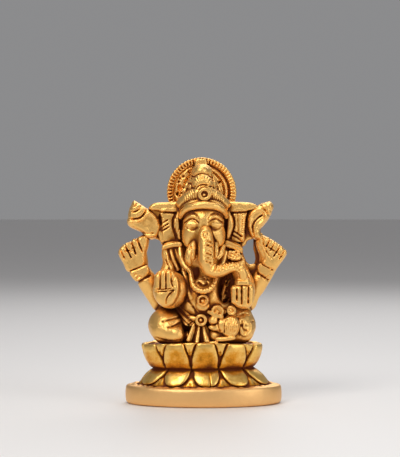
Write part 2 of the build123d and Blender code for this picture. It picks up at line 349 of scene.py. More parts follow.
def oval_distance(x, y, half_x, half_y, x0=0):
    """Rough signed distance to an upright oval wall whose half width may change with z."""
    e = np.sqrt(((x - x0) / half_x) ** 2 + (y / half_y) ** 2)
    slope = np.sqrt(((x - x0) / half_x ** 2) ** 2 + (y / half_y ** 2) ** 2)
    return (e - 1) * e / np.maximum(slope, 1e-6)


def make_plinth():
    piece = clay("plinth", "satin_brass")
    half_x, half_y, top = PLINTH

    def distance(x, y, z):
        bulge = 0.25 * (1 - ((z - 2.4) / 2.6) ** 2)
        wall = oval_distance(x, y, half_x - 0.25, half_y - 0.25) - bulge
        return rounded(wall, np.maximum(z - top, SOLE_LIFT - PLINTH_SOLE - z), 0.7)

    piece.add((np.array([-half_x, -half_y, -PLINTH_SOLE]), np.array([half_x, half_y, top]), distance))
    # Beads of metal left in the corner under the petals.
    for number in range(BEADS):
        angle = 2 * math.pi * number / BEADS + 0.05 * rng.standard_normal()
        out = 1 + 0.012 * rng.standard_normal()
        size = 0.55 + 0.2 * rng.random()
        spot = (BEAD_RING[0] * out * math.sin(angle), -BEAD_RING[1] * out * math.cos(angle), top - 0.15)
        piece.add(egg(spot, (size * 1.3, size, size * 0.8)), blend=0.4)


def tier_grid(x, y, half_x, x0):
    """Where a point is along the oval, in mm from the front, and one petal's share of it."""
    half_y = half_x * OVAL
    angle = np.linspace(-math.pi, math.pi, 721)
    step = np.hypot(half_x * np.cos(angle), half_y * np.sin(angle)) * (angle[1] - angle[0])
    walked = np.cumsum(step) - step / 2
    walked -= np.interp(0, angle, walked)
    here = np.interp(np.arctan2((x - x0) / half_x, -y / half_y), angle, walked)
    return here, float(step.sum()) / PETALS


def profile(z, rings):
    """Half width at a height, from (z, half width) rings."""
    return np.interp(z, [r[0] for r in rings], [r[1] for r in rings])


LOWER_RINGS = [(5, 21.1), (5.6, 20.9), (7, 19.7), (8.6, 18.2), (9.6, 17), (10.6, 15.6)]
UPPER_RINGS = [(10.3, 15.6), (11.2, 16.6), (12.7, 17.6), (14.5, 18.4), (16.4, 19), (19.2, 19.35)]


def make_tier(tier, rings, outline, mid_half_x, x0, z_low, z_high, droop, shift):
    """A lotus tier: its core, with small second petals showing in the gaps, and ten petals.

    mid_half_x is the oval on which the petals' pitch is measured, x0 its middle, droop how far the
    rim drops at the sides, and shift how far the first petal is off the middle, all in mm."""
    path = smooth(outline, closed=True, steps=6)
    upper = tier == "upper"
    half = [p for p in outline if p[0] >= 0 and p[1] > z_low - 1]
    half.sort(key=lambda p: p[1])

    def wall_field(x, y, z):
        """Distance to the oval wall that the tier's rings describe."""
        half_x = profile(z, rings)
        return oval_distance(x, y, half_x, half_x * OVAL, x0)

    def around(x, y):
        """The place along the oval, shifted so that a petal is centred on zero, and the pitch."""
        flat_x = x[:, :, 0:1] + 0 * y[:, :, 0:1]
        flat_y = y[:, :, 0:1] + 0 * x[:, :, 0:1]
        along, pitch = tier_grid(flat_x, flat_y, mid_half_x, x0)
        return along - shift, pitch

    def sink(x, y, z):
        """How far the rim has dropped, from nothing at the front to all of the droop at the sides."""
        side = (x - x0) ** 2 / ((x - x0) ** 2 + (y / OVAL) ** 2 + 1)
        return droop * side * (z - z_low) / (z_high - z_low)

    core = clay(f"{tier}_lotus_core", "lotus_brass")
    where, x, y, z = core.whole()
    wall = wall_field(x, y, z)
    along, pitch = around(x, y)
    across = (along + 50.5 * pitch) % pitch - pitch * 0.5
    seam = pitch * 0.5 - np.abs(across)
    raised = z + sink(x, y, z)
    gap = pitch * 0.5 - np.interp(raised, [p[1] for p in half], [p[0] for p in half])
    share = seam / np.maximum(gap - 0.3, 0.05)
    if upper:
        showing = np.clip((gap - 0.5) / 0.5, 0, 1)
        second = 0.85 * showing * np.clip(1.3 * (1 - share ** 4), 0, 1)
        crack = 0.35 * showing * np.exp(-((seam - 0.15) / 0.18) ** 2) * np.clip((17.6 - raised) / 1.5, 0, 1)
        rise = 0.5 * np.exp(-((wall + 0.9) / 0.8) ** 2)
        ends = np.maximum(raised - z_high + 0.45 - rise, z_low - z)
        core.field[where] = rounded(wall + 1.15 - second + crack, ends, 0.3)
    else:
        showing = np.clip((gap - 0.8) / 0.6, 0, 1)
        second = 0.95 * showing * np.clip(1.25 * (1 - share ** 2), 0, 1)
        crack = 0.3 * showing * np.exp(-(seam / 0.16) ** 2)
        ends = np.maximum(z - z_high - 0.2, z_low - z)
        core.field[where] = rounded(wall + 1.25 - second + crack, ends, 0.3)

    for number in range(PETALS):
        petal = clay(f"{tier}_petal_{number + 1:02d}", "lotus_brass")
        where, x, y, z = petal.whole()
        wall = wall_field(x, y, z)
        along, pitch = around(x, y)
        total = pitch * PETALS
        u = (along - number * pitch + 1.5 * total) % total - 0.5 * total
        v = z + sink(x, y, z)
        lean = 0.05 * rng.standard_normal()
        size = 1 + 0.03 * rng.standard_normal()
        edge = outline_distance((u * size + lean * (v - z_low)), v, path)
        swell = PETAL_SWELL * np.sqrt(np.clip(1 - (1 - np.clip(-edge / PETAL_EDGE, 0, 1)) ** 2, 0, 1))
        outer = wall + 0.5 - swell
        petal.field[where] = rounded(rounded(outer, edge * 0.8, 0.3), -(wall + PETAL_BACK), 0.1)
        if not upper and number in (0, 3, 6):
            vein = 0.3 * np.exp(-((u - 0.9) / 0.17) ** 2) * np.clip((9.8 - z) / 1.5, 0, 1)
            petal.field[where] += vein.astype(np.float32)


LOWER_PETAL = mirrored([(-4.2, 11), (-4.25, 9.6), (-4, 8.3), (-3.2, 6.9), (-2, 5.9), (0, 5.5)])
UPPER_PETAL = mirrored([(-4.1, 10.2), (-4.35, 12.2), (-4.2, 14), (-3.6, 16), (-3.1, 17.4), (-2.7, 18.5),
    (-2.1, 18.95), (0, 19)])


# ---------------------------------------------------------------- body and legs

def make_body():
    torso = clay("torso")
    # Belly, chest, lap, hips, back and shoulders.
    for centre, half, blend in (((0, -1.2, 31.5), (8.4, 8.6, 9), 0), ((0, 1.2, 42.5), (9.3, 6.2, 8.4), 2.5),
            ((0, 1.5, 24), (8, 6.5, 6.5), 2), ((0, 3.2, 20.6), (9.6, 5.4, 4.6), 2.5),
            ((0, 3.4, 35), (8, 4.9, 13), 2.5), ((0, 2.4, 47.4), (10.4, 3.4, 4.8), 1.5)):
        torso.add(egg(centre, half), blend=blend)
    # The deep hollow under the trunk, closed behind by a web, and the small one beside the necklace.
    torso.cut(egg((7.9, -7.5, 36.2), (3.6, 9.6, 5.6), (0, 14, 0)), blend=0.6)
    torso.cut(rope([(-2, -5.2, 41.4), (-2.5, -5.6, 40), (-2.3, -6.6, 38.8)], [0.65, 0.85, 0.6]), blend=0.3)
    torso.add(plate([(4, 25), (10.6, 25), (10.8, 34), (9.4, 41), (4, 41)], 0.2, 4, 1), blend=0.4)
    # Rolled edges of the shawl run down both sides of the belly.
    torso.add(rope([(6.6, 0.4, 40.6), (6.8, -1.2, 36.6), (5.8, -3.4, 32.8), (5.2, -5.8, 30.2)],
        [0.6, 0.6, 0.6, 0.7]), blend=0.4)
    torso.add(rope([(-6.6, -3.2, 42.2), (-5.7, -5.4, 39), (-5, -7.4, 35.6), (-4, -8.6, 32.6)],
        [0.8, 0.85, 0.8, 0.6]), blend=0.3)
    # Folds of the shawl and the belly, then rough metal in the hollow.
    torso.score([[(-8.8, 30.2), (-6, 27.2), (-3.6, 24.4)], [(9, 29), (6.2, 27.6), (3.4, 25.6)],
        [(-4.6, 31.6), (-3, 29.6), (-2.2, 28)], [(-1.4, 37.2), (-0.2, 36.4), (1.2, 36.8)]], width=0.35,
        depth=0.5, behind=0)
    torso.dots(scatter(26, (5.2, 31), (10.2, 39.6)), width=0.35, depth=0.6, behind=4)
    torso.score([[(8.8, 39.8), (8.2, 37.8), (7.4, 36)], [(9.6, 38), (9.2, 36.2), (8.5, 34.2)],
        [(7.4, 34.2), (6.8, 32.4)]], width=0.35, depth=-0.9, behind=4)
    torso.dots([(0.2, 38.4), (1.3, 38.2), (0.9, 37.4), (-6, 41), (-5.4, 39.8), (-6.6, 39.4), (7.4, 38),
        (6.2, 37)], width=0.3, depth=0.35, behind=0)

    # Each knee is an egg with the shin folded in front, and a web behind it that fills to the arm.
    right_leg = clay("right_leg")
    right_leg.add(plate([(-5.6, 24), (-13.6, 24), (-13.2, 31), (-6, 31)], -2, 3, 1))
    right_leg.add(egg((-10.8, -1.6, 23.8), (6.4, 7, 5.7)), blend=0.8)
    right_leg.add(rod((-12, -4.9, 21.9), (-8.4, -7.9, 21.3), 3.8, 2.9), blend=1.2)
    right_leg.add(rod((-7, -5.4, 20.9), (-4.6, -5.6, 20.2), 2.2, 1.6), blend=0.5)
    creases = [[(-12.6, 25.2), (-11, 25.7), (-7.4, 26.6)], [(-11, 23.5), (-9.2, 24), (-6.6, 25.2)]]
    right_leg.score(creases, width=0.26, depth=0.5, behind=-2)
    right_leg.score([[(-7.4, 27.6), (-6.4, 25.6), (-5.8, 22.4), (-5.6, 19.6)]], width=0.5, depth=0.7,
        behind=0)
    right_leg.score([[(-14.6, 20.3), (-11, 19.5), (-7, 19.8)]], width=0.3, depth=0.25, behind=-2)
    right_leg.dots(scatter(24, (-14.6, 23.2), (-9.2, 25.6)), width=0.14, depth=0.16, behind=-2)

    left_leg = clay("left_leg")
    left_leg.add(plate([(5.6, 24), (14, 24), (13.6, 31), (6, 31)], -2, 3, 1))
    left_leg.add(egg((10.2, -1.6, 23.8), (6.1, 7, 5.6)), blend=0.8)
    left_leg.add(rod((11.6, -4.9, 21.9), (4, -8, 20.9), 3.7, 2.4), blend=1.2)
    left_leg.add(rope([(11, -7.6, 25.6), (11.2, -8.2, 23), (12.6, -8.4, 21.4), (14.2, -7.4, 22.4),
        (14.4, -6.8, 24.2)], [0.6, 0.8, 0.8, 0.8, 0.6]), blend=0.4)
    left_leg.score([[(10.6, 26.2), (10.4, 23.6), (11, 21.2)], [(11.9, 25.4), (12.2, 23.2), (13.2, 22.6)]],
        width=0.3, depth=0.35, behind=-2)
    left_leg.score([[(11.2, 27.2), (12.6, 27.6), (13.8, 27.2)]], width=0.3, depth=0.25, behind=-2)
    left_leg.dots([(13, 24.2), (15.2, 25), (12.2, 27), (11.6, 24.2), (12.6, 21.6)], width=0.4, depth=0.5,
        behind=-2)
    # Both legs end level where they sit on the lotus.
    for leg in (right_leg, left_leg):
        leg.cut((np.array([-30, -30, 10]), np.array([30, 30, 17.8]), lambda x, y, z: z - 17.8), blend=0.4)

    sash = clay("waist_sash")
    strands = (([(-8.2, -4.4, 29), (-6.7, -5.9, 27.3), (-5.2, -7.3, 25.6), (-3.9, -8.4, 24.3)], 0.5, 0.55),
        ([(-7.4, -4.8, 30.4), (-5.9, -6.3, 28.8), (-4.4, -7.6, 27), (-3, -8.6, 25.6)], 0.5, 0.6),
        ([(-9, -3.4, 28.2), (-7.2, -5, 26.4), (-5.8, -6.4, 24.8), (-4.6, -7.4, 23.4)], 0.45, 0.5),
        ([(-7.8, -3.5, 29.7), (-6.3, -5, 28), (-4.8, -6.4, 26.3), (-3.4, -7.6, 24.9)], 0.9, 1))
    for path, thin, thick in strands:
        sash.add(rope(path, [thin, thick, thick, thin]), blend=0.1)
    sash.add(rope([(-4.2, -8.6, 26.6), (-2, -9, 26.2), (0, -9.1, 26.1), (3.2, -8.6, 26.6),
        (6.4, -6.8, 28.2)], [0.7, 0.8, 0.9, 0.8, 0.6]), blend=0.4)
    sash.score([[(-8.4 + 0.55 * i, 28.6 - 0.6 * i), (-7.2 + 0.55 * i, 29.6 - 0.6 * i)] for i in range(8)],
        width=0.2, depth=0.5, curved=False)

    disc = clay("navel_medallion")
    disc.add(egg((-0.25, -9.4, 30.4), (2.15, 1.3, 1.9)))
    disc.add(button(-0.25, 31.9, 1.9, -10.9, -8, 0.5), blend=0.2)
    disc.add(hoop(-0.25, 31.9, 1.45, 0.5, -11.7, -9, 0.24), blend=0.05)
    disc.add(egg((-0.35, -10.9, 31.8), (0.65, 0.8, 0.65)), blend=0.03)
    disc.score([[(-0.9, 31.4), (-0.9, 32.3), (-0.2, 32.8), (0.5, 32.4)]], width=0.2, depth=0.5)
    disc.score([[(-2, 31.2), (-1.6, 30.1), (-0.3, 29.7), (1.1, 30.1), (1.5, 31.2)]], width=0.2, depth=0.35)

    buckle = clay("belt_buckle")
    buckle.add(button(-0.8, 25.9, 1.85, -9.9, -7.4, 0.4))
    buckle.add(hoop(-0.8, 25.9, 1.4, 0.85, -11, -8.5, 0.4), blend=0.1)
    buckle.add(egg((-0.9, -10.1, 25.9), (0.55, 0.7, 0.55)), blend=0.05)

    tassel = clay("sash_tassel")
    tassel.add(plate([(-2.4, 24.6), (-4.6, 18.3), (-1, 17.9), (2.6, 18.3), (0.6, 24.6)], -9, -4, 0.6))
    for top_x, top_z, foot_x, foot_z, width in ((-3, 24.4, -4.7, 19.8, 0.6), (-1.4, 23.6, -2.1, 19, 0.65),
            (-0.1, 23.6, 1, 19.2, 0.85)):
        tassel.add(rod((top_x, -9, top_z), (foot_x, -10.2, foot_z), 0.5, width), blend=0.1)
    tassel.score([[(-2.2, 24), (-3.4, 18.6)], [(-0.8, 24), (-0.6, 18.6)]], width=0.35, depth=0.6,
        curved=False)

    necklace = clay("necklace")
    necklace.add(rope([(-7.3, -2.6, 49), (-7.2, -3.8, 46.6), (-6.6, -4.6, 43.9), (-5.4, -5.6, 41.9),
        (-4.1, -7, 40.6), (-3.7, -8.4, 38.4), (-3.1, -9.4, 36.4), (-1.8, -10, 35.2), (-0.1, -10.2, 34.8),
        (1.8, -9.8, 35.3), (3.1, -9, 36.7), (3.8, -8, 38.4), (4.2, -6.6, 40.4), (5.8, -5.2, 43.2),
        (6.8, -4.4, 46.4)], [0.8, 0.9, 0.95, 0.9, 0.75, 0.8, 0.9, 0.95, 1, 0.95, 0.9, 0.8, 0.7, 0.8, 0.8]))
    # Twists of the rope: round the loop, square to it, and down the strand on the shoulder.
    ribs = []
    for x, z in ((-3.5, 37.4), (-2.9, 36.2), (-2.1, 35.3), (-1.1, 34.8), (0, 34.7), (1, 34.9), (1.9, 35.4),
            (2.7, 36.1), (3.3, 37.1)):
        reach = 1 / math.hypot(x, 38.6 - z)
        ribs.append([(x * (1 - reach), z + (38.6 - z) * reach), (x * (1 + reach), z - (38.6 - z) * reach)])
    for x, z in ((-7.2, 47.4), (-7.1, 46.4), (-6.9, 45.4), (-6.6, 44.4), (-6.1, 43.4), (-5.5, 42.5),
            (-4.8, 41.8)):
        ribs.append([(x - 0.9, z - 0.35), (x + 0.9, z + 0.5)])
    necklace.score(ribs, width=0.15, depth=0.24, curved=False)


# ---------------------------------------------------------------- head

FACE = [(-6.3, 57.6), (-6.45, 54.4), (-6.3, 51.6), (-5.5, 49), (-3.6, 47.2), (0, 46.4), (3.6, 47.2),
    (5.5, 49), (6.3, 51.6), (6.45, 54.4), (6.3, 57.6), (4.4, 60.6), (0, 61.6), (-4.4, 60.6)]


def make_head():
    head = clay("head")
    head.add(egg((0, -1.4, 54), (8.4, 8.6, 10)))
    path = smooth(FACE, closed=True)
    head.keep((None, None, lambda x, y, z: outline_distance(x, z, path)), blend=2)
    head.keep((None, None, lambda x, y, z: y - 4.8), blend=2.5)
    # A broad flat forehead and bridge run down into the trunk.
    head.add(egg((0.2, -6.4, 55.4), (2.9, 2.7, 3.2)), blend=1.6)
    head.add(rope([(0.5, -8, 53), (0.6, -9, 51), (0.7, -9.6, 48)], [2.2, 2.5, 2.6]), blend=1.2)
    head.add(egg((0.1, -6.2, 57.6), (4.6, 2.7, 3.2)), blend=2.4)
    for side in (-1, 1):
        head.cut(egg((side * 3.9, -10.9, 55), (2.4, 2.1, 2.2)), blend=0.9)
        # Closed almond eyelids, hardly raised.
        lid = flip([(1.5, 55.3), (2.3, 56.1), (3.5, 56.4), (4.8, 56), (5.7, 55.3), (4.7, 54.3), (3.5, 53.9),
            (2.3, 54.3)], side)
        head.add(pillow(lid, -7.6, 2.4, 1.3, bend=0.06), blend=0.3)
        head.add(egg((side * 3, -8, 55.15), (1.6, 1.4, 0.9)), blend=0.6)
        head.add(egg((side * 4.5, -7.4, 55.1), (1.5, 1.4, 0.8)), blend=0.6)
        head.add(rope(flip([(1.7, -9.2, 56.9), (2.5, -9.2, 57.5), (3.6, -8.9, 57.7), (4.8, -8.2, 57.2),
            (5.7, -7, 56.2)], side), [0.25, 0.35, 0.4, 0.35, 0.3]), blend=0.5)
        head.score([flip([(1.4, 56.8), (2.2, 58.1), (3.5, 58.7), (5, 58.1), (6.1, 56.9)], side)],
            width=0.24, depth=0.28, behind=-4)
        head.score([flip([(1.5, 55.8), (2.4, 56.6), (3.6, 56.9), (4.9, 56.4), (5.8, 55.7)], side)],
            width=0.24, depth=0.38, behind=-4)
        # Full cheeks under the eyes.
        head.add(egg((side * 4, -5.5, 51.2), (2.5, 2.5, 3.2)), blend=1.6)
        head.score([flip([(2, 54.3), (2.6, 53.8), (3.6, 53.5), (4.8, 53.9), (5.6, 54.7)], side)],
            width=0.24, depth=0.28, behind=-4)
    head.score([[(2, 54.4), (2.5, 52.4), (3.6, 50.2)]], width=0.3, depth=0.6, behind=-4)

    trunk = clay("trunk")
    trunk.add(rope([(0.3, -7.2, 55.4), (0.4, -8.5, 54), (0.6, -10.2, 51.8), (0.7, -11, 48.9),
        (0.75, -11.5, 45.9), (0.95, -11.9, 43.8), (1.8, -12, 41.9), (3.5, -12, 41.1), (5.6, -11.9, 41.3),
        (7.6, -11.8, 42), (9.6, -11.7, 42.3), (11.2, -11.7, 41.7), (12, -11.7, 40.2), (12.1, -11.4, 38.4)],
        [1.2, 1.7, 2.1, 2.3, 2.45, 2.5, 2.4, 2.1, 1.95, 1.7, 1.5, 1.4, 1.3, 1.2]))
    # A flat down its side, short cross folds on its face and closer ones along the curl.
    trunk.cut(rope([(-3.4, -12.6, 54.6), (-2.6, -12.8, 50.4), (-2.4, -13.8, 46)], [0.6, 0.6, 0.4]),
        blend=0.8)
    for z in np.arange(50.3, 43, -1.25):
        start, tilt = 0.6 + 0.5 * rng.random(), 0.4 + 0.4 * rng.random()
        trunk.score([[(start, z), (1.5, z - 0.15), (2.3, z - tilt)]], width=0.28,
            depth=0.42 + 0.25 * rng.random(), behind=-10)
    for x, z, across_x, across_z in ((2.9, 42.6, 0.6, 1.2), (3.8, 42.2, 0.4, 1.2), (4.7, 42.2, 0.1, 1.2),
            (5.6, 42.5, -0.1, 1.1), (6.5, 42.8, -0.2, 1.1), (7.4, 43, -0.1, 1.1), (8.3, 43.1, 0.1, 1),
            (9.2, 43.1, 0.4, 1), (10.1, 42.9, 0.6, 0.9), (11, 42.4, 0.8, 0.7), (11.8, 41.7, 0.9, 0.4)):
        trunk.score([[(x - across_x, z - across_z), (x + across_x, z + across_z)]], width=0.28, depth=0.5,
            behind=-9.5, curved=False)
    # The round mark on the brow.
    ring = [(0.55 + 0.95 * math.sin(a), 52.1 + 0.95 * math.cos(a)) for a in np.linspace(0, 2 * math.pi, 13)]
    trunk.score([ring], width=0.2, depth=0.42, behind=-9)
    trunk.add(egg((0.55, -12.15, 52.1), (0.35, 0.4, 0.35)), blend=0.1)

    tusk = clay("right_tusk")
    tusk.add(rope([(-2.8, -8.4, 49.4), (-3.5, -9.4, 47), (-4.2, -9.8, 44.6), (-4.4, -9, 43)],
        [1.1, 1.8, 1.6, 0.9]))
    tusk.add(egg((-3, -10.2, 45.4), (1.1, 0.9, 1.5)), blend=0.3)
    tusk.add(egg((-4.4, -10.2, 46.4), (0.9, 0.9, 1.2)), blend=0.3)
    tusk.score([[(-3.9, 48.4), (-3.4, 46.8), (-3.7, 45), (-3.4, 43.4)],
        [(-2.2, 47.4), (-2.4, 45), (-2.9, 43.8)]], width=0.28, depth=0.5)
    tusk.dots([(-4.4, 47.6), (-4.9, 45.4), (-3, 44.2)], width=0.28, depth=0.35)
    tusk = clay("left_tusk")
    tusk.add(rope([(3.7, -8.2, 49.2), (3.8, -9, 47.2), (3.7, -9.4, 45.2)], [0.8, 0.85, 0.55]))
    tusk.add(rope([(6.2, -5.6, 48.4), (5.4, -7, 46.4), (4.5, -8.2, 44.8)], [0.7, 0.95, 0.6]))
    tusk.score([[(5.9, 48.2), (5.3, 46.4), (4.6, 44.9)]], width=0.2, depth=0.4)

    for side, name in ((-1, "right"), (1, "left")):
        ear = clay(f"{name}_ear")
        flap = [(5.6, 60), (10, 60.4), (13.7, 60), (13.4, 57.4), (13.2, 55.4), (13, 53.4), (12.9, 51),
            (12.4, 49.6), (8.4, 49.5), (5.8, 50.4), (5.4, 55.6)]
        # The hanging flap, its root behind the cheek, and the shelf along its top.
        ear.add(pillow(flip(flap, side), -0.5, 3.8, 0.5))
        ear.add(plate(flip([(4.8, 61), (8.4, 61), (8.4, 49.2), (4.8, 49.2)], side), 0, 2.4, 0.6), blend=0.3)
        ear.add(plate(flip([(6.5, 62), (11, 62), (15, 61.7), (16.9, 60.6), (16.5, 59.5), (13.2, 59.1),
            (9, 58.9), (6.5, 59)], side), -2.3, 0.8, 0.9))
        # The web of metal between the ear and what the rear hand holds, with an arched lower edge.
        web = [(12, 60.4), (16.4, 60.2), (16.8, 56), (17, 51.4), (16.2, 50.6), (14.8, 50.4), (13.6, 49.8),
            (12.9, 48.6), (11, 48.6)]
        ear.add(plate(flip(web, side), -0.9, 2.6, 0.7), blend=0.4)
        ear.score([flip([(7, 58.6), (9.5, 58.7), (13.2, 58.9), (15.2, 59.2)], side)], width=0.28, depth=0.7,
            behind=1)
        ear.add(rope(flip([(7.6, -2.2, 58.9), (8.1, -2.5, 57), (8.2, -2.6, 54.8), (7.8, -2.5, 52.8),
            (7.4, -2.2, 50.8)], side), [0.7, 1, 1.1, 1, 0.7]), blend=0.2)
        ear.score([flip([(8.6, 58.6), (9.4, 57), (9.6, 54.9), (9.1, 52.8), (8.4, 50.6)], side)], width=0.22,
            depth=0.6, behind=1)
        ear.score([flip([(6.6, 58.4), (6.9, 56.4), (7, 54), (6.6, 51)], side)], width=0.28, depth=0.6,
            behind=1)
    # The webs and chased lines that only one of the ears has.
    ear = made["right_ear"]
    ear.add(plate([(-11.8, 55.2), (-13.2, 55.2), (-14.3, 54.2), (-14.2, 52), (-13.2, 49.6), (-11.8, 50)],
        -2.1, 2.4, 0.6), blend=0.3)
    ear.add(plate([(-12.8, 60), (-16.2, 59.6), (-15.4, 57.8), (-14.3, 57), (-13.6, 58.2)], -1.7, 2.4, 0.5),
        blend=0.3)
    ear.dots(scatter(10, (-14.6, 52), (-13, 58.6)), width=0.4, depth=0.4, behind=1)
    ear.score([[(-12.8, 55.4), (-11.2, 56.5)], [(-12.5, 54.3), (-11, 55.3)],
        [(-12.6, 53.2), (-10.7, 54.3)]], width=0.2, depth=0.5, behind=1, curved=False)
    ear.score([[(-8.9, 58.2), (-8.5, 55.8), (-8.8, 53.6), (-8.2, 51.6)],
        [(-7.6, 56.8), (-7.3, 54.6), (-7.9, 52.6)]], width=0.17, depth=0.3, behind=1)
    ear = made["left_ear"]
    ear.score([[(10.6, 58.4), (10.7, 55), (10.7, 52.4)], [(11.9, 58.4), (11.9, 55), (11.8, 51.6)],
        [(13.1, 58.6), (13.1, 55), (13, 52)]], width=0.3, depth=0.18, behind=1)
    ear.score([[(12.1, 58 - 0.7 * i), (12.9, 58 - 0.7 * i)] for i in range(9)], width=0.18, depth=0.25,
        behind=1, curved=False)
    ear.score([[(8.8, 51.8), (10.4, 51), (11.6, 50)], [(9.4, 52.9), (10.6, 52.2), (11.8, 51.2)]],
        width=0.24, depth=0.5, behind=1)


HALO_CENTRE = (-0.6, 65.1)
HALO_RADIUS = 9.3
RIM_RADIUS = 9.75
RIM_WIDTH = 2.25
RIM_RIBS = 60


def make_headgear():
    band = clay("headband")
    line = [(-6.9, -4, 57.7), (-6.4, -5.2, 58.7), (-5.2, -7, 59.9), (-3.2, -8.4, 60.7), (0.1, -9, 61.1),
        (3.4, -8.4, 60.7), (5.3, -7, 59.9), (6.4, -5.2, 58.7), (6.8, -4, 57.7)]
    band.add(rope(line, [1, 1.1, 1.15, 1.15, 1.2, 1.15, 1.15, 1.1, 1]))
    band.add(rope([(x * 0.99, y - 0.75, z + 0.25) for x, y, z in line],
        [0.4, 0.45, 0.5, 0.5, 0.5, 0.5, 0.5, 0.45, 0.4]), blend=0.3)

    diadem = clay("diadem")
    crescent = [(-8.7, 61.5), (-7, 63.9), (-4.6, 65.6), (-2.4, 66.4), (0, 66.7), (2.4, 66.4), (4.8, 65.3),
        (7, 63.4), (8.6, 61.3), (7.7, 60.1), (5.6, 61.1), (2.8, 61.95), (0, 62.25), (-3, 61.95),
        (-5.8, 61.1), (-7.7, 60.1)]
    diadem.add(pillow(crescent, -6.3, 3.6, 1.6, bend=0.062))
    diadem.add(rope([(-6.6, -3.4, 59.9), (-5, -6, 61), (-3, -7.2, 61.8), (0.1, -7.6, 62.1),
        (3.2, -7.2, 61.8), (5.1, -6, 61), (6.6, -3.4, 59.9)], 7 * [1]), blend=0.4)
    # Slanting pleats on both halves.
    hatch = []
    for i in range(10):
        x = 2.6 + 0.62 * i
        foot = 62.9 - 0.04 * i * (i + 1)
        hatch.append([(x, foot), (x + 0.6, foot + 2.8 - 0.2 * i)])
        hatch.append([(-x, foot), (-x - 0.6, foot + 2.8 - 0.2 * i)])
    diadem.score(hatch, width=0.2, depth=0.28, curved=False)

    crown = clay("crown")
    crown.add(lathe([(56.8, 7), (61, 6.9), (63, 6.6), (64.6, 6.2), (66, 5.9), (67.6, 5.2), (69, 4.4),
        (70, 3.7), (70.9, 3.4), (71.6, 3.4), (72.4, 3), (73.2, 2.2), (73.8, 1)], (-0.4, -0.8), 0.72))
    crown.add(egg((-0.7, -2.6, 71.5), (2.3, 2.2, 1.9)), blend=0.7)
    crown.add(plate([(-2.4, 71), (-2.5, 75), (-0.6, 75.7), (0.9, 75.2), (0.9, 71)], 1.6, 4.2, 0.6),
        blend=0.3)
    # Pits on both sides of the crown, outside its shell and inside its tapering outline.
    spots = scatter(110, (-6.4, 64.4), (6, 70.6))
    pits = [p for p in spots if 3.2 < abs(p[0] + 0.4) < 11.2 - (p[1] - 62) * 0.9]
    crown.dots(pits, width=0.34, depth=0.6)
    crown.score([[(-3.9, 72.2), (-4.2, 70.6), (-5.2, 68), (-6, 65.6)],
        [(2.8, 72.2), (3.5, 70.4), (4.4, 67.6), (5.2, 65.4)], [(-3.4, 70), (-2.6, 69.6)],
        [(1.6, 69.8), (2.8, 69.8)]], width=0.3, depth=0.45)

    boss = clay("crown_boss")
    # A ring with a bead in it, and above it a shell with its rays.
    boss.add(button(0.3, 64.5, 2.1, -8.2, -4.2, 0.5))
    boss.add(button(0.15, 65.1, 3, -7.5, -4.2, 0.9), blend=0.3)
    boss.add(hoop(0.3, 64.5, 1.5, 1.1, -9.1, -6.5, 0.4), blend=0.1)
    boss.add(egg((0.15, -8.5, 64.3), (0.55, 0.7, 0.55)), blend=0.05)
    boss.add(pillow([(-3.5, 67), (-3.3, 68.7), (-2.2, 70.1), (-0.4, 70.7), (1.4, 70.1), (2.6, 68.7),
        (2.9, 67), (1.4, 65.6), (-2, 65.6)], -5, 4.8, 2), blend=0.2)
    rays = []
    for degrees in range(-95, 96, 19):
        a = math.radians(degrees)
        rays.append([(-0.35 + 2.1 * math.sin(a), 67.1 + 2.1 * math.cos(a)),
            (-0.35 + 3.3 * math.sin(a), 67.1 + 3.6 * math.cos(a))])
    boss.score(rays, width=0.17, depth=0.4, curved=False)
    boss.score([[(-2.7, 64.9), (-2.1, 66.4), (-0.8, 67.3), (0.9, 67.3), (2.2, 66.6), (3.1, 65.2)]],
        width=0.2, depth=0.45)

    x0, z0 = HALO_CENTRE
    halo = clay("halo")
    halo.add(button(x0, z0, HALO_RADIUS, 3.8, 5.5, 0.3))
    # A groove inside the rim, and on the viewer's right a raised ring with a second groove.
    where, x, y, z = halo.whole()
    radius = np.hypot(x - x0, z - z0)
    front = np.clip((4.9 - y) / 0.6, 0, 1)
    to_right = np.clip((x - x0 - 2) / 3, 0, 1)
    rings = 0.5 * np.exp(-((radius - 8.6) / 0.3) ** 2)
    rings = rings - 0.55 * to_right * np.exp(-((radius - 7.6) / 0.5) ** 2)
    rings = rings + 0.3 * to_right * np.exp(-((radius - 6.8) / 0.25) ** 2)
    halo.field[where] += (rings * front).astype(np.float32)
    pits = []
    for spot in scatter(110, (x0 - 8.2, z0 - 4), (x0 + 8, z0 + 8.2)):
        away = math.hypot(spot[0] - x0, spot[1] - z0)
        limit = 8 if spot[0] < x0 else 6.6
        if 3.5 < away < limit:
            pits.append(spot)
    halo.dots(pits, width=0.36, depth=1.1, behind=5.2)

    rim = clay("halo_rim")
    rim.add(hoop(x0, z0, RIM_RADIUS, RIM_WIDTH, 3.2, 5.9, 0.6))
    # Ribs across the rim, deeper on the viewer's left, and a groove along its inner edge.
    where, x, y, z = rim.whole()
    radius = np.hypot(x - x0, z - z0)
    angle = np.arctan2(x - x0, z - z0)
    ribs = (0.5 - 0.5 * np.cos(angle * RIM_RIBS)) ** 4
    ribs = ribs * np.clip(1.35 - ((radius - 9.6) / 1.05) ** 2, 0.25, 1)
    left = np.clip(0.75 - 0.5 * np.sin(angle), 0.3, 1)
    rim.field[where] += (1.5 * ribs * left * np.clip((4.4 - y) / 0.6, 0.08, 1)).astype(np.float32)
    groove = 0.7 * np.exp(-((radius - 8.65) / 0.3) ** 2)
    rim.field[where] += (groove * np.clip((4.6 - y) / 0.5, 0, 1)).astype(np.float32)


# ---------------------------------------------------------------- rear arms

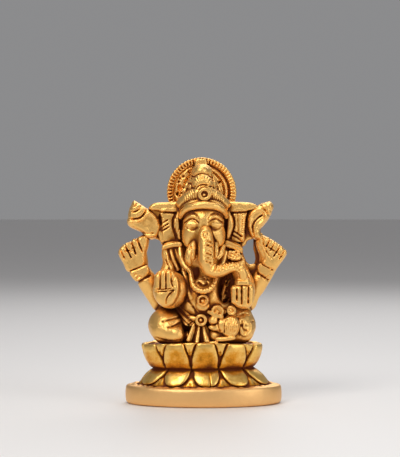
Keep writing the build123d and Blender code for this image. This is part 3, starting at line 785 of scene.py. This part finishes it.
HAND_RIGHT = [(-23.2, 40.2), (-25.2, 43.2), (-26.5, 45.7), (-26.2, 47.4), (-24.9, 48.7), (-22.4, 49.9),
    (-19.9, 51.2), (-18.4, 51.9), (-17.1, 51.2), (-17, 49), (-17.7, 46.7), (-18.2, 45), (-18.2, 42.4)]
HAND_LEFT = [(21.8, 40.6), (24, 42.9), (25.9, 45.8), (25.3, 47.2), (23.6, 48.8), (21.6, 50.1), (19.6, 51.2),
    (17.9, 51.8), (16.7, 51), (17, 48.9), (17.9, 47), (18.6, 44.8), (18, 42.4)]

BRACELET = {"right": [(16.9, 40), (17.6, 42.4), (20.4, 41.3), (22.9, 40), (20.7, 37.2), (18.6, 38.4)],
    "left": [(16.8, 40.1), (17.2, 42.9), (19.4, 42.4), (21.8, 41), (20, 37.9), (18.2, 38.9)]}


def open_hand(name, outline, tips, clefts, depth):
    """A flat hand with four fingers, given as (tip, root), and the clefts between them."""
    hand = clay(name)
    hand.add(pillow(outline, -0.2, 4, 1.2))
    for tip, root in tips:
        hand.add(rod((tip[0], -1.4, tip[1]), (root[0], -1.4, root[1]), 0.95, 0.85), blend=0.5)
    hand.score(clefts, width=0.2, depth=depth, behind=0.2, curved=False)
    return hand


def make_rear_arms():
    forearms = {"right": [(-13.4, 1.9, 30.8), (-15, 1.6, 33.4), (-17.2, 1.2, 36.8), (-20.4, 0.6, 42)],
        "left": [(13.4, 1.9, 30.8), (14.7, 1.6, 33.8), (17.2, 1.2, 37.2), (20.4, 0.6, 42)]}
    grooves = {"right": [(16.6, 39.2), (18.5, 38.2), (20.6, 36.9)],
        "left": [(16.9, 39.8), (18.2, 39.1), (20.1, 37.8)]}
    for side, name in ((-1, "right"), (1, "left")):
        arm = clay(f"rear_{name}_arm")
        arm.add(rope(flip([(7.5, 3, 43), (10.8, 2.6, 37.4), (13.2, 2, 32.4), (13.4, 1.9, 30.8)], side),
            [3.3, 3.2, 3, 2.9]))
        arm.add(rope(forearms[name], [2.9, 3.2, 3.1, 2.6]), blend=1.4)
        if side > 0:
            # The lower end of the gap is closed between the forearm and the front arm.
            arm.add(plate([(12.6, 31), (12.4, 43.2), (14.4, 42.4), (16.6, 42.6), (18, 39), (15.4, 31)], 0.6,
                3.4, 0.6), blend=0.5)
        band = clay(f"rear_{name}_bracelet")
        band.add(plate(flip(BRACELET[name], side), -2.7, 3.4, 0.6))
        band.score([flip([(20.6, 38.2), (20.4, 38.8), (20, 38.5), (19.8, 39.1), (19.2, 38.7)], side),
            flip([(21.2, 39.4), (20.9, 39.7)], side)], width=0.2, depth=0.5, curved=False)
        # The groove under the bracelet runs on across the arm.
        band.score([flip(grooves[name], side)], width=0.32, depth=0.8, curved=False)
        arm.score([flip(grooves[name], side)], width=0.32, depth=0.5, curved=False)
        if side > 0:
            band.score([[(18.4, 42.6), (21.4, 40.9)]], width=0.26, depth=0.6, curved=False)

    tips = [((-25.2, 47.2), (-23.9, 44.4)), ((-23.7, 48.5), (-22.2, 45.4)), ((-21.6, 49.6), (-20.2, 46.6)),
        ((-19.5, 50.4), (-18.6, 47.6))]
    clefts = [[(-25.9, 47.4), (-24.6, 44.6)], [(-24.5, 48.8), (-22.5, 44.8)], [(-22.5, 50), (-21.1, 45.9)],
        [(-20.8, 50.8), (-18.9, 46.4)]]
    hand = open_hand("rear_right_hand", HAND_RIGHT, tips, clefts, 0.7)
    hand.score([[(-24.4, 46.6), (-23.2, 47), (-22.4, 46.6)], [(-22.2, 47.6), (-21.2, 48)]], width=0.22,
        depth=0.5, behind=0.2)
    hand.add(rope([(-17.9, -0.6, 50.8), (-18, -0.8, 48.6), (-18.7, -0.8, 46), (-18.9, -0.4, 43.6)],
        [0.9, 1, 1, 0.9]), blend=0.5)
    hand.add(rod((-19.8, 0.4, 44.8), (-19.6, 0.5, 42.2), 2.4, 2.4), blend=0.8)

    tips = [((24.9, 46.4), (23.4, 44)), ((23.6, 47.8), (22, 45.2)), ((21.9, 49), (20.4, 46.4)),
        ((20.1, 50), (19, 47.6))]
    clefts = [[(25.2, 47), (23.6, 44.4)], [(23.9, 48.4), (21.8, 45.2)], [(22.4, 49.7), (20.6, 46.8)],
        [(20.8, 50.7), (19.4, 48.1)]]
    hand = open_hand("rear_left_hand", HAND_LEFT, tips, clefts, 0.65)
    hand.score([[(19.4, 48.6), (20.9, 47.5), (22.4, 46.6), (24.2, 45)]], width=0.18, depth=0.45, behind=0.2)
    hand.add(rod((21.6, -1.3, 42.6), (20, -1.3, 45.4), 0.9, 0.7), blend=0.6)
    hand.add(rope([(17.7, -0.4, 51.6), (17.4, -0.8, 49.4), (18.2, -0.8, 46.6), (19.6, -0.6, 44)],
        [0.8, 1.1, 1.1, 0.9]), blend=0.4)
    hand.score([[(18.4, 50.8), (18.6, 48.8), (19.4, 46.8), (20.9, 44.6)]], width=0.22, depth=0.4,
        behind=0.2)
    hand.add(rod((19.8, 0.4, 44.8), (19.6, 0.5, 42.2), 2.4, 2.4), blend=0.8)
    # The thick inner side of the hand, set back behind the thumb.
    hand.add(plate([(15.2, 51.6), (14, 50.6), (14.4, 49.2), (15.6, 47.3), (16.2, 44.4), (15.9, 42.2),
        (17.6, 41.6), (19.6, 46), (18.6, 51)], 0.8, 3.8, 0.5), blend=0.3)

    conch = clay("conch")
    conch.add(pillow([(-21.8, 62.4), (-22.6, 61), (-23.3, 59.2), (-23.5, 57.4), (-23.8, 55.6), (-23, 54.3),
        (-21.2, 53.4), (-19.2, 52.4), (-18.2, 50.9), (-16.4, 50.3), (-14.4, 51), (-13.2, 53.6), (-13.3, 56),
        (-14.5, 58), (-16.3, 59.4), (-18.2, 60.4), (-20.4, 61.8)], 0.2, 5.6, 1.3))
    conch.score([[(-23.2, 59.3), (-21.5, 59), (-19.9, 59.8), (-19.2, 60.9)],
        [(-22.5, 60.9), (-21.4, 60.8), (-20.5, 61.5)], [(-23.6, 57.1), (-21.6, 56.8), (-19.4, 57.4),
        (-18, 59.2), (-17.9, 60.2)]], width=0.22, depth=0.5, behind=1.5)
    conch.score([[(-23.6, 56.3), (-21.6, 55.9), (-19.2, 56.6), (-17.6, 58.3), (-16.6, 58.7), (-15.2, 57.4),
        (-14.3, 55.4)]], width=0.35, depth=-0.35, behind=1.5)
    conch.score([[(-18.6, 52.5), (-17.4, 52.2), (-15.6, 52.4)]], width=0.25, depth=0.35, behind=1.5)

    goad = clay("goad")
    goad.add(pillow([(20.9, 62), (21.8, 60.8), (21.4, 59.2), (20.4, 56.9), (18.9, 54.9), (17.7, 53.2),
        (18.4, 50.8), (17, 50), (15.4, 50.6), (14, 52.4), (13.3, 54.6), (13.4, 57), (13.9, 58.9),
        (15.1, 60), (16.8, 60.9), (18.4, 61.6), (19.8, 62)], 0.2, 5.6, 1.3))
    goad.score([[(18.1, 57.9), (16.9, 57.1), (15.7, 55.8), (15.2, 54.2), (15.5, 51.8)]], width=0.26,
        depth=0.5, behind=1.5)
    goad.score([[(19.5, 57.6), (18.4, 55.8), (17.2, 54.2), (16.9, 52.2)]], width=0.45, depth=-0.35,
        behind=1.5)
    goad.score([[(14.3, 54.4), (14.5, 57.2), (15.6, 59.2), (17.4, 59.8), (18.9, 58.9), (19.6, 57.6)]],
        width=0.5, depth=-0.35, behind=1.5)
    goad.score([[(17.6, 60.9), (18.9, 59.7), (20.8, 57.6)]], width=0.24, depth=0.45, behind=1.5)
    goad.score([[(18.9, 61.2), (20.2, 60), (21.4, 58.8)]], width=0.2, depth=0.25, behind=1.5)


# ---------------------------------------------------------------- front arms

def make_front_arms():
    arm = clay("front_right_arm")
    arm.add(plate([(-12.3, 44), (-12.3, 49), (-6.6, 49.6), (-6, 44)], -3.4, 2, 0.9))
    arm.add(rope([(-9.6, -0.4, 45.6), (-10, -1.8, 42), (-11, -3.2, 37.6), (-11.5, -3.8, 34)],
        [2.8, 3, 3.3, 3.5]), blend=1.2)
    arm.add(egg((-10.2, -7, 35), (5.4, 4.8, 5.8)), blend=1.2)
    for x, lean in ((-11.4, 1), (-9.7, 1.6), (-8, 1.8)):
        arm.add(rope([(x - 0.6, -3, 47), (x + 0.1 * lean, -3.6, 44.6), (x + lean, -4.6, 41.2)],
            [0.6, 0.8, 0.6]), blend=0.3)
    arm.score([[(-10.9, 47.2), (-10.2, 44.6), (-8.6, 41.2)], [(-9.3, 47.4), (-8.6, 44.8), (-7, 41.6)],
        [(-11.9, 46.4), (-11.5, 44), (-10.6, 41.4)]], width=0.3, depth=0.42, behind=1)

    hand = clay("front_right_hand")
    outline = [(-15.2, 37), (-15, 39.2), (-14.1, 40.7), (-12.6, 41.4), (-10.9, 41.5), (-9.3, 41),
        (-8.2, 39.5), (-7.5, 37), (-7.6, 34.2), (-8.7, 31.6), (-10.6, 30), (-12.6, 30.1), (-14.5, 32.4),
        (-15.3, 34.8)]
    hand.add(pillow(outline, -11.4, 3.6, 1.3))
    for x, foot, tip in ((-14.15, 36.2, 39.2), (-12.4, 36.2, 40.4), (-10.75, 36.3, 40.5),
            (-9.3, 37.4, 39.6)):
        hand.add(rod((x, -12.4, tip), (x + 0.05, -12.4, foot), 0.78, 0.75), blend=0.4)
    hand.add(rope([(-8.4, -12.4, 38.6), (-8.4, -12.8, 36.4), (-9, -12.8, 33.6), (-9.8, -12.4, 31.6)],
        [0.6, 0.8, 1, 0.8]), blend=0.5)
    hand.add(egg((-12.9, -12.7, 33), (1.7, 0.7, 1.9)), blend=0.6)
    hand.score([[(-13.25, 40.8), (-13.25, 35.7)], [(-11.55, 41.2), (-11.5, 35.7)],
        [(-9.95, 40.5), (-9.9, 38), (-9.5, 36.5)], [(-8.4, 39.8), (-9.6, 38)]], width=0.2, depth=0.5,
        behind=-11, curved=False)
    hand.score([[(-14.8, 34.8), (-12.9, 34.8), (-10.3, 35.1), (-9, 35.3)],
        [(-14.8, 35.5), (-12, 35.5), (-10, 35.7)], [(-9, 35.2), (-10.5, 34), (-11.4, 32.4), (-11.4, 31)]],
        width=0.19, depth=0.4, behind=-11)

    arm = clay("front_left_arm")
    arm.add(plate([(6.4, 50), (11.3, 48.9), (11.8, 46), (12.6, 43), (6.4, 42.6)], -3, 2.4, 0.9))
    arm.add(rope([(9.8, -0.6, 45), (10.7, -1.8, 42), (12.1, -3, 38.8), (12.9, -4.6, 36.4),
        (12.6, -8.2, 36)], [2.5, 2.6, 2.8, 2.9, 2.7]), blend=1.2)
    # The web of metal that closes the space between the arm and the belly.
    arm.add(plate([(6, 42.4), (12.4, 42.4), (13.8, 34), (13, 28.4), (6.4, 28.4)], -0.6, 2.6, 0.6),
        blend=0.5)
    arm.add(rod((13.6, -4, 34.6), (13.2, -4, 30.6), 2.4, 2), blend=0.8)
    arm.add(plate([(7.6, 47), (11.4, 46.8), (11.6, 44.2), (7.9, 44)], -5.4, -2.5, 0.5), blend=0.2)
    arm.score([[(7.6, 50.3), (9.4, 50.2), (11.2, 49.3)], [(7.6, 47.3), (9.6, 46.9), (11.8, 45.8)],
        [(8, 44), (10, 43.8), (11.8, 44.2)], [(7.6, 46.4), (8, 44.2)], [(11.4, 46.4), (11.6, 44.2)],
        [(13.2, 40.6), (14.2, 38.2), (14.6, 35.6)]], width=0.28, depth=0.35, behind=0)
    arm.dots([(9.6, 45.6), (8.8, 45.9), (10.6, 45.7), (9.2, 44.9), (10.3, 44.9), (9.9, 46.3), (8.3, 45.2),
        (11, 45.1)], width=0.34, depth=0.6)
    arm.score([[(8.2, 46.6), (8.4, 45.4), (8.2, 44.4)], [(9, 46.6), (10.8, 46.4)]], width=0.2, depth=0.35,
        behind=0)

    band = clay("front_left_bracelet")
    band.add(pillow([(9.8, 38.4), (10.6, 38.9), (13.4, 38.9), (14.2, 38.4), (14.4, 37.2), (14, 36.2),
        (10, 36.2), (9.6, 37.2)], -11, 4.4, 1.2))
    band.score([[(9.4, 38.3), (14.6, 38.3)], [(9.4, 36.5), (14.6, 36.5)]], width=0.2, depth=0.35,
        curved=False)

    hand = clay("front_left_hand")
    outline = [(8.7, 36.4), (8.4, 33.8), (8.7, 31.6), (9.9, 30.2), (11.6, 29.5), (13.6, 29.6), (15, 31),
        (15.5, 33.6), (15, 36.6), (12, 37.2)]
    hand.add(pillow(outline, -11, 3.8, 1.8))
    for x, tip in ((9.3, 31.9), (10.9, 31), (12.6, 30.8), (14.3, 31.6)):
        hand.add(rod((x, -12, 35.6), (x, -12, tip), 0.85, 0.85), blend=0.7)
    hand.score([[(10.1, 35.6), (10.15, 32)], [(11.6, 36.2), (11.6, 31)], [(13.7, 36.2), (13.6, 31.2)]],
        width=0.22, depth=0.6, behind=-10.6, curved=False)
    hand.score([[(12.7, 35.6), (12.6, 32.4)]], width=0.16, depth=0.25, behind=-10.6, curved=False)

    band = clay("right_armlet")
    band.add(plate([(-12.7, 47.2), (-12.6, 48.6), (-9.6, 49.5), (-6.8, 49.6), (-6.8, 48.3), (-9.6, 48)],
        -4.3, 2.4, 0.5))
    band.score([[(-13.2, 49.1), (-9.6, 49.9), (-6.4, 50)], [(-13.2, 46.8), (-9.6, 47.5), (-6.4, 47.8)]],
        width=0.2, depth=0.3)
    band = clay("left_armlet")
    band.add(plate([(6.8, 50.2), (6.6, 48.4), (9.4, 47.3), (11.9, 46.2), (12, 47.9), (9.6, 49.2)], -4.3,
        2.4, 0.55))
    band.score([[(6.8, 49.4), (9.4, 48.3), (12, 47)]], width=0.2, depth=0.3)


def make_mouse():
    # Body, chest, head and muzzle.
    mouse = clay("mouse")
    mouse.add(egg((8.2, -9.8, 23.8), (2.9, 2.5, 3.6), (0, 8, 0)))
    mouse.add(egg((5.6, -9.8, 24.2), (2.2, 1.8, 2.4)), blend=0.6)
    mouse.add(egg((3, -10.1, 25.8), (1.5, 1.5, 1.4)), blend=0.4)
    mouse.add(egg((3.3, -10.4, 23.5), (1.9, 1.1, 0.8), (0, 12, 0)), blend=0.2)
    # Ears, or sweets, as rings with a bead.
    for x, z, r in ((4.3, 28.6, 1.95), (8.5, 28.9, 1.45)):
        mouse.add(button(x, z, r, -10.6, -8, 0.4), blend=0.2)
        mouse.add(hoop(x, z, r - 0.4, 0.7, -11.3, -9.2, 0.3), blend=0.1)
        mouse.add(egg((x - 0.1, -10.8, z), (0.55, 0.5, 0.55)), blend=0.1)
    mouse.add(rope([(1.6, -10.2, 28.4), (2.6, -10.6, 28), (3.6, -10.6, 27.4), (5.4, -10.4, 27)],
        [0.5, 0.7, 0.8, 0.8]), blend=0.3)
    mouse.add(rope([(4.2, -11, 20.1), (6.4, -11.3, 20.2), (9.2, -11.2, 20.6)], [0.65, 0.7, 0.7]))
    mouse.add(rope([(1.6, -10.6, 18.9), (2.8, -10.8, 18.9), (4, -10.9, 19)], [0.45, 0.5, 0.45]))
    mouse.score([[(x + 0.5, 26.6 - abs(x - 7.9) * 0.5), (x, 24.4), (x + 0.1, 21.8 + abs(x - 7.9) * 0.3)]
        for x in np.arange(6.3, 10.2, 0.62)], width=0.19, depth=0.42)
    mouse.score([[(4.6, 26.2), (4.4, 24.6), (5, 22.6)], [(1.8, 24.6), (3.2, 24.6), (4.4, 24.9)],
        [(10.2, 27), (10.9, 24.6), (10.6, 21.6)]], width=0.22, depth=0.4)


make_plinth()
make_tier("lower", LOWER_RINGS, LOWER_PETAL, mid_half_x=18.8, x0=0.15, z_low=4.9, z_high=WAIST, droop=0,
    shift=0.9)
make_tier("upper", UPPER_RINGS, UPPER_PETAL, mid_half_x=18, x0=-0.5, z_low=WAIST, z_high=19, droop=1.2,
    shift=1)
make_body()
make_head()
make_headgear()
make_rear_arms()
make_front_arms()
make_mouse()

# ---------------------------------------------------------------- casting roughness

low_mm = np.array(cad_low) / MM - BASE - 3
high_mm = np.array(cad_high) / MM - BASE + 3
lattice_low = np.floor(low_mm / CELL).astype(int)
lattice_count = np.ceil(high_mm / CELL).astype(int) - lattice_low + 1


def lumps(piece, pitch, seed):
    """Smooth random lumps on the piece's block, from a coarse seeded lattice over the whole idol."""
    source = np.random.default_rng(seed)
    coarse = np.ceil((high_mm - low_mm) / pitch).astype(int) + 4
    values = source.standard_normal(coarse).astype(np.float32)
    out = values
    for axis in range(3):
        place = ((np.arange(piece.count[axis]) + piece.start[axis]) * CELL - low_mm[axis]) / pitch + 1
        base = np.clip(np.floor(place).astype(int), 1, coarse[axis] - 3)
        t = place - base
        weights = np.zeros((len(place), coarse[axis]), np.float32)
        rows = np.arange(len(place))
        for k, w in enumerate(((1 - t) ** 3 / 6, (3 * t ** 3 - 6 * t ** 2 + 4) / 6,
                (-3 * t ** 3 + 3 * t ** 2 + 3 * t + 1) / 6, t ** 3 / 6)):
            weights[rows, base - 1 + k] += w
        out = np.moveaxis(np.tensordot(weights, out, axes=(1, axis)), 0, axis)
    return out


# (pitch, seed, height as cast, height on the filed plinth)
ROUGHNESS = ((3.2, 5, 0.10, 0.05), (1.1, 6, 0.08, 0.03))

for piece in made.values():
    for pitch, seed, as_cast, filed in ROUGHNESS:
        height = filed if piece.slot == "satin_brass" else as_cast
        piece.field += lumps(piece, pitch, seed) * height

# ---------------------------------------------------------------- how sheltered each spot is

union = np.full(lattice_count, FAR, np.float32)
for piece in made.values():
    a = piece.start - lattice_low
    first = np.maximum(a, 0)
    last = np.minimum(a + piece.count, lattice_count)
    target = tuple(slice(i, j) for i, j in zip(first, last))
    source = tuple(slice(i, j) for i, j in zip(first - a, last - a))
    union[target] = np.minimum(union[target], piece.field[source])
solid = np.clip(0.5 - union / CELL, 0, 1).astype(np.float32)
del union


def blurred(block, radius):
    """Two box blurs along each axis, which come close to a round soft blur."""
    half = max(1, int(round(radius / CELL)))
    out = block
    for axis in range(3):
        for _ in range(2):
            padded = np.concatenate([np.repeat(np.take(out, [0], axis), half + 1, axis), out,
                np.repeat(np.take(out, [-1], axis), half, axis)], axis)
            total = np.cumsum(padded, axis, dtype=np.float32)
            width = 2 * half + 1
            high = np.take(total, np.arange(width, total.shape[axis]), axis)
            low = np.take(total, np.arange(0, total.shape[axis] - width), axis)
            out = (high - low) / width
    return out


# Painted shade: spots darkened where shade falls in the deep hollows, as (centre, half sizes, extra
# darkening).
PAINTED_SHADE_SPOTS = [((16.3, 1.6, 46.8), (1.7, 2.8, 5.6), 0.80), ((8.4, -2.0, 36.4), (3.6, 5.0, 6.0), 0.30),
    ((-6.2, -3.0, 27.6), (2.2, 3.0, 3.4), 0.20), ((-2.4, -5.0, 40.2), (1.5, 3.5, 2.6), 0.40),
    ((0, -3.0, 19.2), (19.0, 9.0, 0.9), 0.10)]
# Extra darkening of whole pieces, by the start of their names. Below zero is lighter than the rest.
PIECE_DARKENING = {"upper": 0.30, "halo": -0.15, "crown": 0.03, "crown_boss": -0.12, "waist_sash": 0.30,
    "sash_tassel": 0.06}
# On these pieces even shallow pits hold dark oxide.
PIT_GRIME = {"halo": 3.2, "crown": 1.2, "diadem": 0.8, "trunk": 0.8}
# The y behind which no painted shade is laid in the spots, and no extra oxide in the pits.
PAINTED_SHADE_BACK = 3.4
PIT_BACK = 5.3


def amount_for(piece, table):
    """The sum of a table's amounts for a piece."""
    return sum(amount for start, amount in table.items() if piece.name.startswith(start))


def grime(piece, points_mm):
    """Painted shade in the listed spots, extra darkening of whole pieces and extra oxide in pits, at points
    of a piece, none of it behind the idol.
    """
    out = np.full(len(points_mm), amount_for(piece, PIECE_DARKENING), np.float32)
    y = points_mm[:, 1]
    # Painted shade: darker inside each listed spot.
    for centre, half, weight in PAINTED_SHADE_SPOTS:
        reach = (((points_mm - np.array(centre)) / np.array(half)) ** 2).sum(1)
        out += weight * np.clip(1.4 - 1.4 * reach, 0, 1) * np.clip((PAINTED_SHADE_BACK - y) / 1.2, 0, 1)
    pit = np.clip(sample(shelter["crease"], points_mm) - 0.53, 0, 0.2)
    out += amount_for(piece, PIT_GRIME) * pit * np.clip((PIT_BACK - y) / 0.3, 0, 1)
    return out


# How much metal is near each spot, within three reaches: over half is sheltered. The colour darkens with
# it, as oxide in the creases and as painted shade over the hollow and depth reaches.
REACHES = {"crease": 0.4, "hollow": 1.2, "depth": 3.0}
shelter = {name: blurred(solid, reach) for name, reach in REACHES.items()}


def sample(block, points_mm):
    """Values of a lattice block at points, by trilinear interpolation."""
    p = points_mm / CELL - lattice_low
    base = np.clip(np.floor(p).astype(int), 0, lattice_count - 2)
    t = np.clip(p - base, 0, 1)
    share = (1 - t, t)
    out = 0
    for i in (0, 1):
        for j in (0, 1):
            for k in (0, 1):
                weight = share[i][:, 0] * share[j][:, 1] * share[k][:, 2]
                out = out + weight * block[base[:, 0] + i, base[:, 1] + j, base[:, 2] + k]
    return out


# ---------------------------------------------------------------- materials

def brass(name, bright, mid, dark, rough, grain):
    """Cast brass with dark oxide in its creases and painted shade in its wider hollows, rubbed bright on
    its high spots.
    """
    material = bpy.data.materials.new(name)
    material.use_nodes = True
    nodes, links = material.node_tree.nodes, material.node_tree.links
    shader = nodes["Principled BSDF"]

    def attribute(attribute_name):
        node = nodes.new("ShaderNodeAttribute")
        node.attribute_name = attribute_name
        return node.outputs["Fac"]

    def math_node(operation, a, b, clamp=False):
        node = nodes.new("ShaderNodeMath")
        node.operation = operation
        node.use_clamp = clamp
        for socket, value in zip(node.inputs, (a, b)):
            if isinstance(value, (int, float)):
                socket.default_value = value
            else:
                links.new(value, socket)
        return node.outputs[0]

    def noise(scale, detail, roughness=0.55):
        node = nodes.new("ShaderNodeTexNoise")
        node.inputs["Scale"].default_value = scale
        node.inputs["Detail"].default_value = detail
        node.inputs["Roughness"].default_value = roughness
        links.new(place.outputs["Object"], node.inputs["Vector"])
        return node.outputs["Fac"]

    def ramp(value, stops):
        node = nodes.new("ShaderNodeValToRGB")
        while len(node.color_ramp.elements) < len(stops):
            node.color_ramp.elements.new(0.5)
        for element, (position, colour) in zip(node.color_ramp.elements, stops):
            element.position = position
            element.color = (*colour, 1) if len(colour) == 3 else colour
        links.new(value, node.inputs["Fac"])
        return node.outputs["Color"]

    def grey(value, stops):
        return ramp(value, [(p, (c, c, c)) for p, c in stops])

    place = nodes.new("ShaderNodeTexCoord")
    crease, hollow, depth = attribute("crease"), attribute("hollow"), attribute("depth")
    blotch = noise(260.0, 3.0)
    patch = noise(95.0, 2.0)
    speck = noise(1500.0, 4.0, 0.65)

    # Shelter above its middle value darkens the colour: in the fine creases as oxide, over the wider
    # hollows and the deep reach as painted shade; the noises make the edge of this darkening uneven.
    worn = math_node("ADD", math_node("MULTIPLY", noise(700.0, 2.0), 1.6), 0.2)
    oxide_and_painted_shade = math_node("MULTIPLY", math_node("MULTIPLY", math_node("SUBTRACT", crease, 0.5), 1.5), worn)
    for value, middle, weight in ((hollow, 0.5, 2.4), (depth, 0.60, 1.3), (blotch, 0.5, 0.45),
            (speck, 0.5, 0.35), (patch, 0.5, 0.30)):
        share = math_node("MULTIPLY", math_node("SUBTRACT", value, middle), weight)
        oxide_and_painted_shade = math_node("ADD", oxide_and_painted_shade, share)
    # Then the painted shade of the listed spots, the darkening of whole pieces and the oxide in pits.
    oxide_and_painted_shade = math_node("ADD", oxide_and_painted_shade, attribute("grime"))
    level = math_node("ADD", oxide_and_painted_shade, 0.5, clamp=True)

    brown = [0.4 * m + 0.6 * d for m, d in zip(mid, dark)]
    colour = ramp(level, [(0.24, bright), (0.46, mid), (0.64, brown), (0.82, dark)])
    links.new(colour, shader.inputs["Base Color"])
    links.new(grey(level, [(0.35, rough), (0.62, rough + 0.12), (0.85, 0.62)]), shader.inputs["Roughness"])
    links.new(grey(level, [(0.60, 1.0), (0.85, 0.45)]), shader.inputs["Metallic"])
    shader.inputs["Specular IOR Level"].default_value = 0.35

    bump = nodes.new("ShaderNodeBump")
    bump.inputs["Strength"].default_value = grain
    bump.inputs["Distance"].default_value = 0.0002
    height = math_node("ADD", speck, math_node("MULTIPLY", noise(600.0, 3.0), 1.2))
    links.new(height, bump.inputs["Height"])
    links.new(bump.outputs["Normal"], shader.inputs["Normal"])
    return material


# Each brass: its bright, middle and dark colours, its roughness and its grain.
LOOKS = {"antique_brass": ((0.99, 0.58, 0.172), (0.60, 0.255, 0.044), (0.145, 0.03, 0.003), 0.39, 0.60),
    "lotus_brass": ((0.97, 0.59, 0.155), (0.78, 0.33, 0.03), (0.15, 0.028, 0.002), 0.35, 0.35),
    "satin_brass": ((0.95, 0.57, 0.23), (0.82, 0.42, 0.13), (0.18, 0.055, 0.012), 0.46, 0.40)}
materials = {name: brass(name, *look) for name, look in LOOKS.items()}

# ---------------------------------------------------------------- meshes

# Large pieces, plain or mostly hidden, are meshed on every second lattice point.
PLAIN = {"plinth", "lower_lotus_core", "upper_lotus_core"}

for piece in made.values():
    stride = 2 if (piece.name in PLAIN) else 1
    grid = openvdb.FloatGrid(FAR)
    field = np.clip(piece.field[::stride, ::stride, ::stride], -FAR, FAR)
    for axis in range(3):
        for end in (0, -1):
            index = [slice(None)] * 3
            index[axis] = end
            field[tuple(index)] = FAR
    grid.copyFromArray(field)
    grid.transform = openvdb.createLinearTransform(voxelSize=1.0)
    points, quads = grid.convertToQuads()
    points_mm = (points * stride + piece.start) * CELL
    mesh = bpy.data.meshes.new(f"{piece.name}_form")
    mesh.vertices.add(len(points_mm))
    mesh.vertices.foreach_set("co", ((points_mm + BASE) * MM).astype(np.float32).ravel())
    mesh.loops.add(quads.size)
    mesh.loops.foreach_set("vertex_index", quads[:, ::-1].ravel().astype(np.int32))
    mesh.polygons.add(len(quads))
    mesh.polygons.foreach_set("loop_start", np.arange(0, quads.size, 4, dtype=np.int32))
    mesh.update(calc_edges=True)
    mesh.shade_smooth()
    for name, block in shelter.items():
        data = mesh.attributes.new(name, "FLOAT", "POINT")
        data.data.foreach_set("value", sample(block, points_mm).astype(np.float32))
    data = mesh.attributes.new("grime", "FLOAT", "POINT")
    data.data.foreach_set("value", grime(piece, points_mm).astype(np.float32))
    form = bpy.data.objects.new(f"{piece.name}_form", mesh)
    bpy.context.scene.collection.objects.link(form)
    mesh.materials.append(materials[piece.slot])
    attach(form, "root")
    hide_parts(piece.name)

# ---------------------------------------------------------------- stage, light and camera

def stage_plane(name, size, location, rotation, colour, rough):
    bpy.ops.mesh.primitive_plane_add(size=size, location=location, rotation=rotation)
    plane = bpy.context.object
    plane.name = name
    material = bpy.data.materials.new(name)
    material.use_nodes = True
    shader = material.node_tree.nodes["Principled BSDF"]
    shader.inputs["Base Color"].default_value = (*colour, 1)
    shader.inputs["Roughness"].default_value = rough
    plane.data.materials.append(material)
    return plane


stage_plane("floor", 6.0, (0, 0, cad_low[2]), (0, 0, 0), (0.80, 0.78, 0.77), 0.55)

world = bpy.data.worlds.new("studio")
bpy.context.scene.world = world
world.use_nodes = True
world.node_tree.nodes["Background"].inputs["Color"].default_value = (0.93, 0.93, 0.95, 1)
world.node_tree.nodes["Background"].inputs["Strength"].default_value = 0.28


def area_light(name, location, target, size, power, colour=(1, 1, 1)):
    data = bpy.data.lights.new(name, "AREA")
    data.size = size
    data.energy = power
    data.color = colour
    lamp = bpy.data.objects.new(name, data)
    lamp.location = location
    lamp.rotation_euler = (Vector(target) - Vector(location)).to_track_quat("-Z", "Y").to_euler()
    bpy.context.scene.collection.objects.link(lamp)
    return lamp


aim = (0, 0, 0.04)
area_light("key", (-0.22, -0.38, 0.42), aim, 0.24, 1.5, (1.0, 0.97, 0.92))
area_light("fill", (0.42, -0.30, 0.22), aim, 0.30, 0.7)
area_light("top", (0.0, 0.05, 0.55), aim, 0.30, 1.0)
area_light("back", (0.10, 0.45, 0.40), aim, 0.35, 0.8)

# Heights and distances in mm; the lens is for a sensor 24 mm high.
CAMERA_HEIGHT = 68.0
CAMERA_DISTANCE = 600.0
IDOL_OFFSET = 1.1
PITCH_DOWN = 1.36
SENSOR_HEIGHT = 24.0
LENS = 101.1466
camera_data = bpy.data.cameras.new("camera")
camera_data.sensor_fit = "VERTICAL"
camera_data.sensor_height = SENSOR_HEIGHT
camera_data.lens = LENS
camera_data.clip_start = 0.01
camera_data.clip_end = 20.0
camera = bpy.data.objects.new("camera", camera_data)
camera.location = (np.array([-IDOL_OFFSET, -CAMERA_DISTANCE, CAMERA_HEIGHT]) + BASE) * MM
camera.rotation_euler = (math.radians(90 - PITCH_DOWN), 0, 0)
bpy.context.scene.collection.objects.link(camera)
bpy.context.scene.camera = camera

bpy.context.scene.view_settings.view_transform = "Standard"
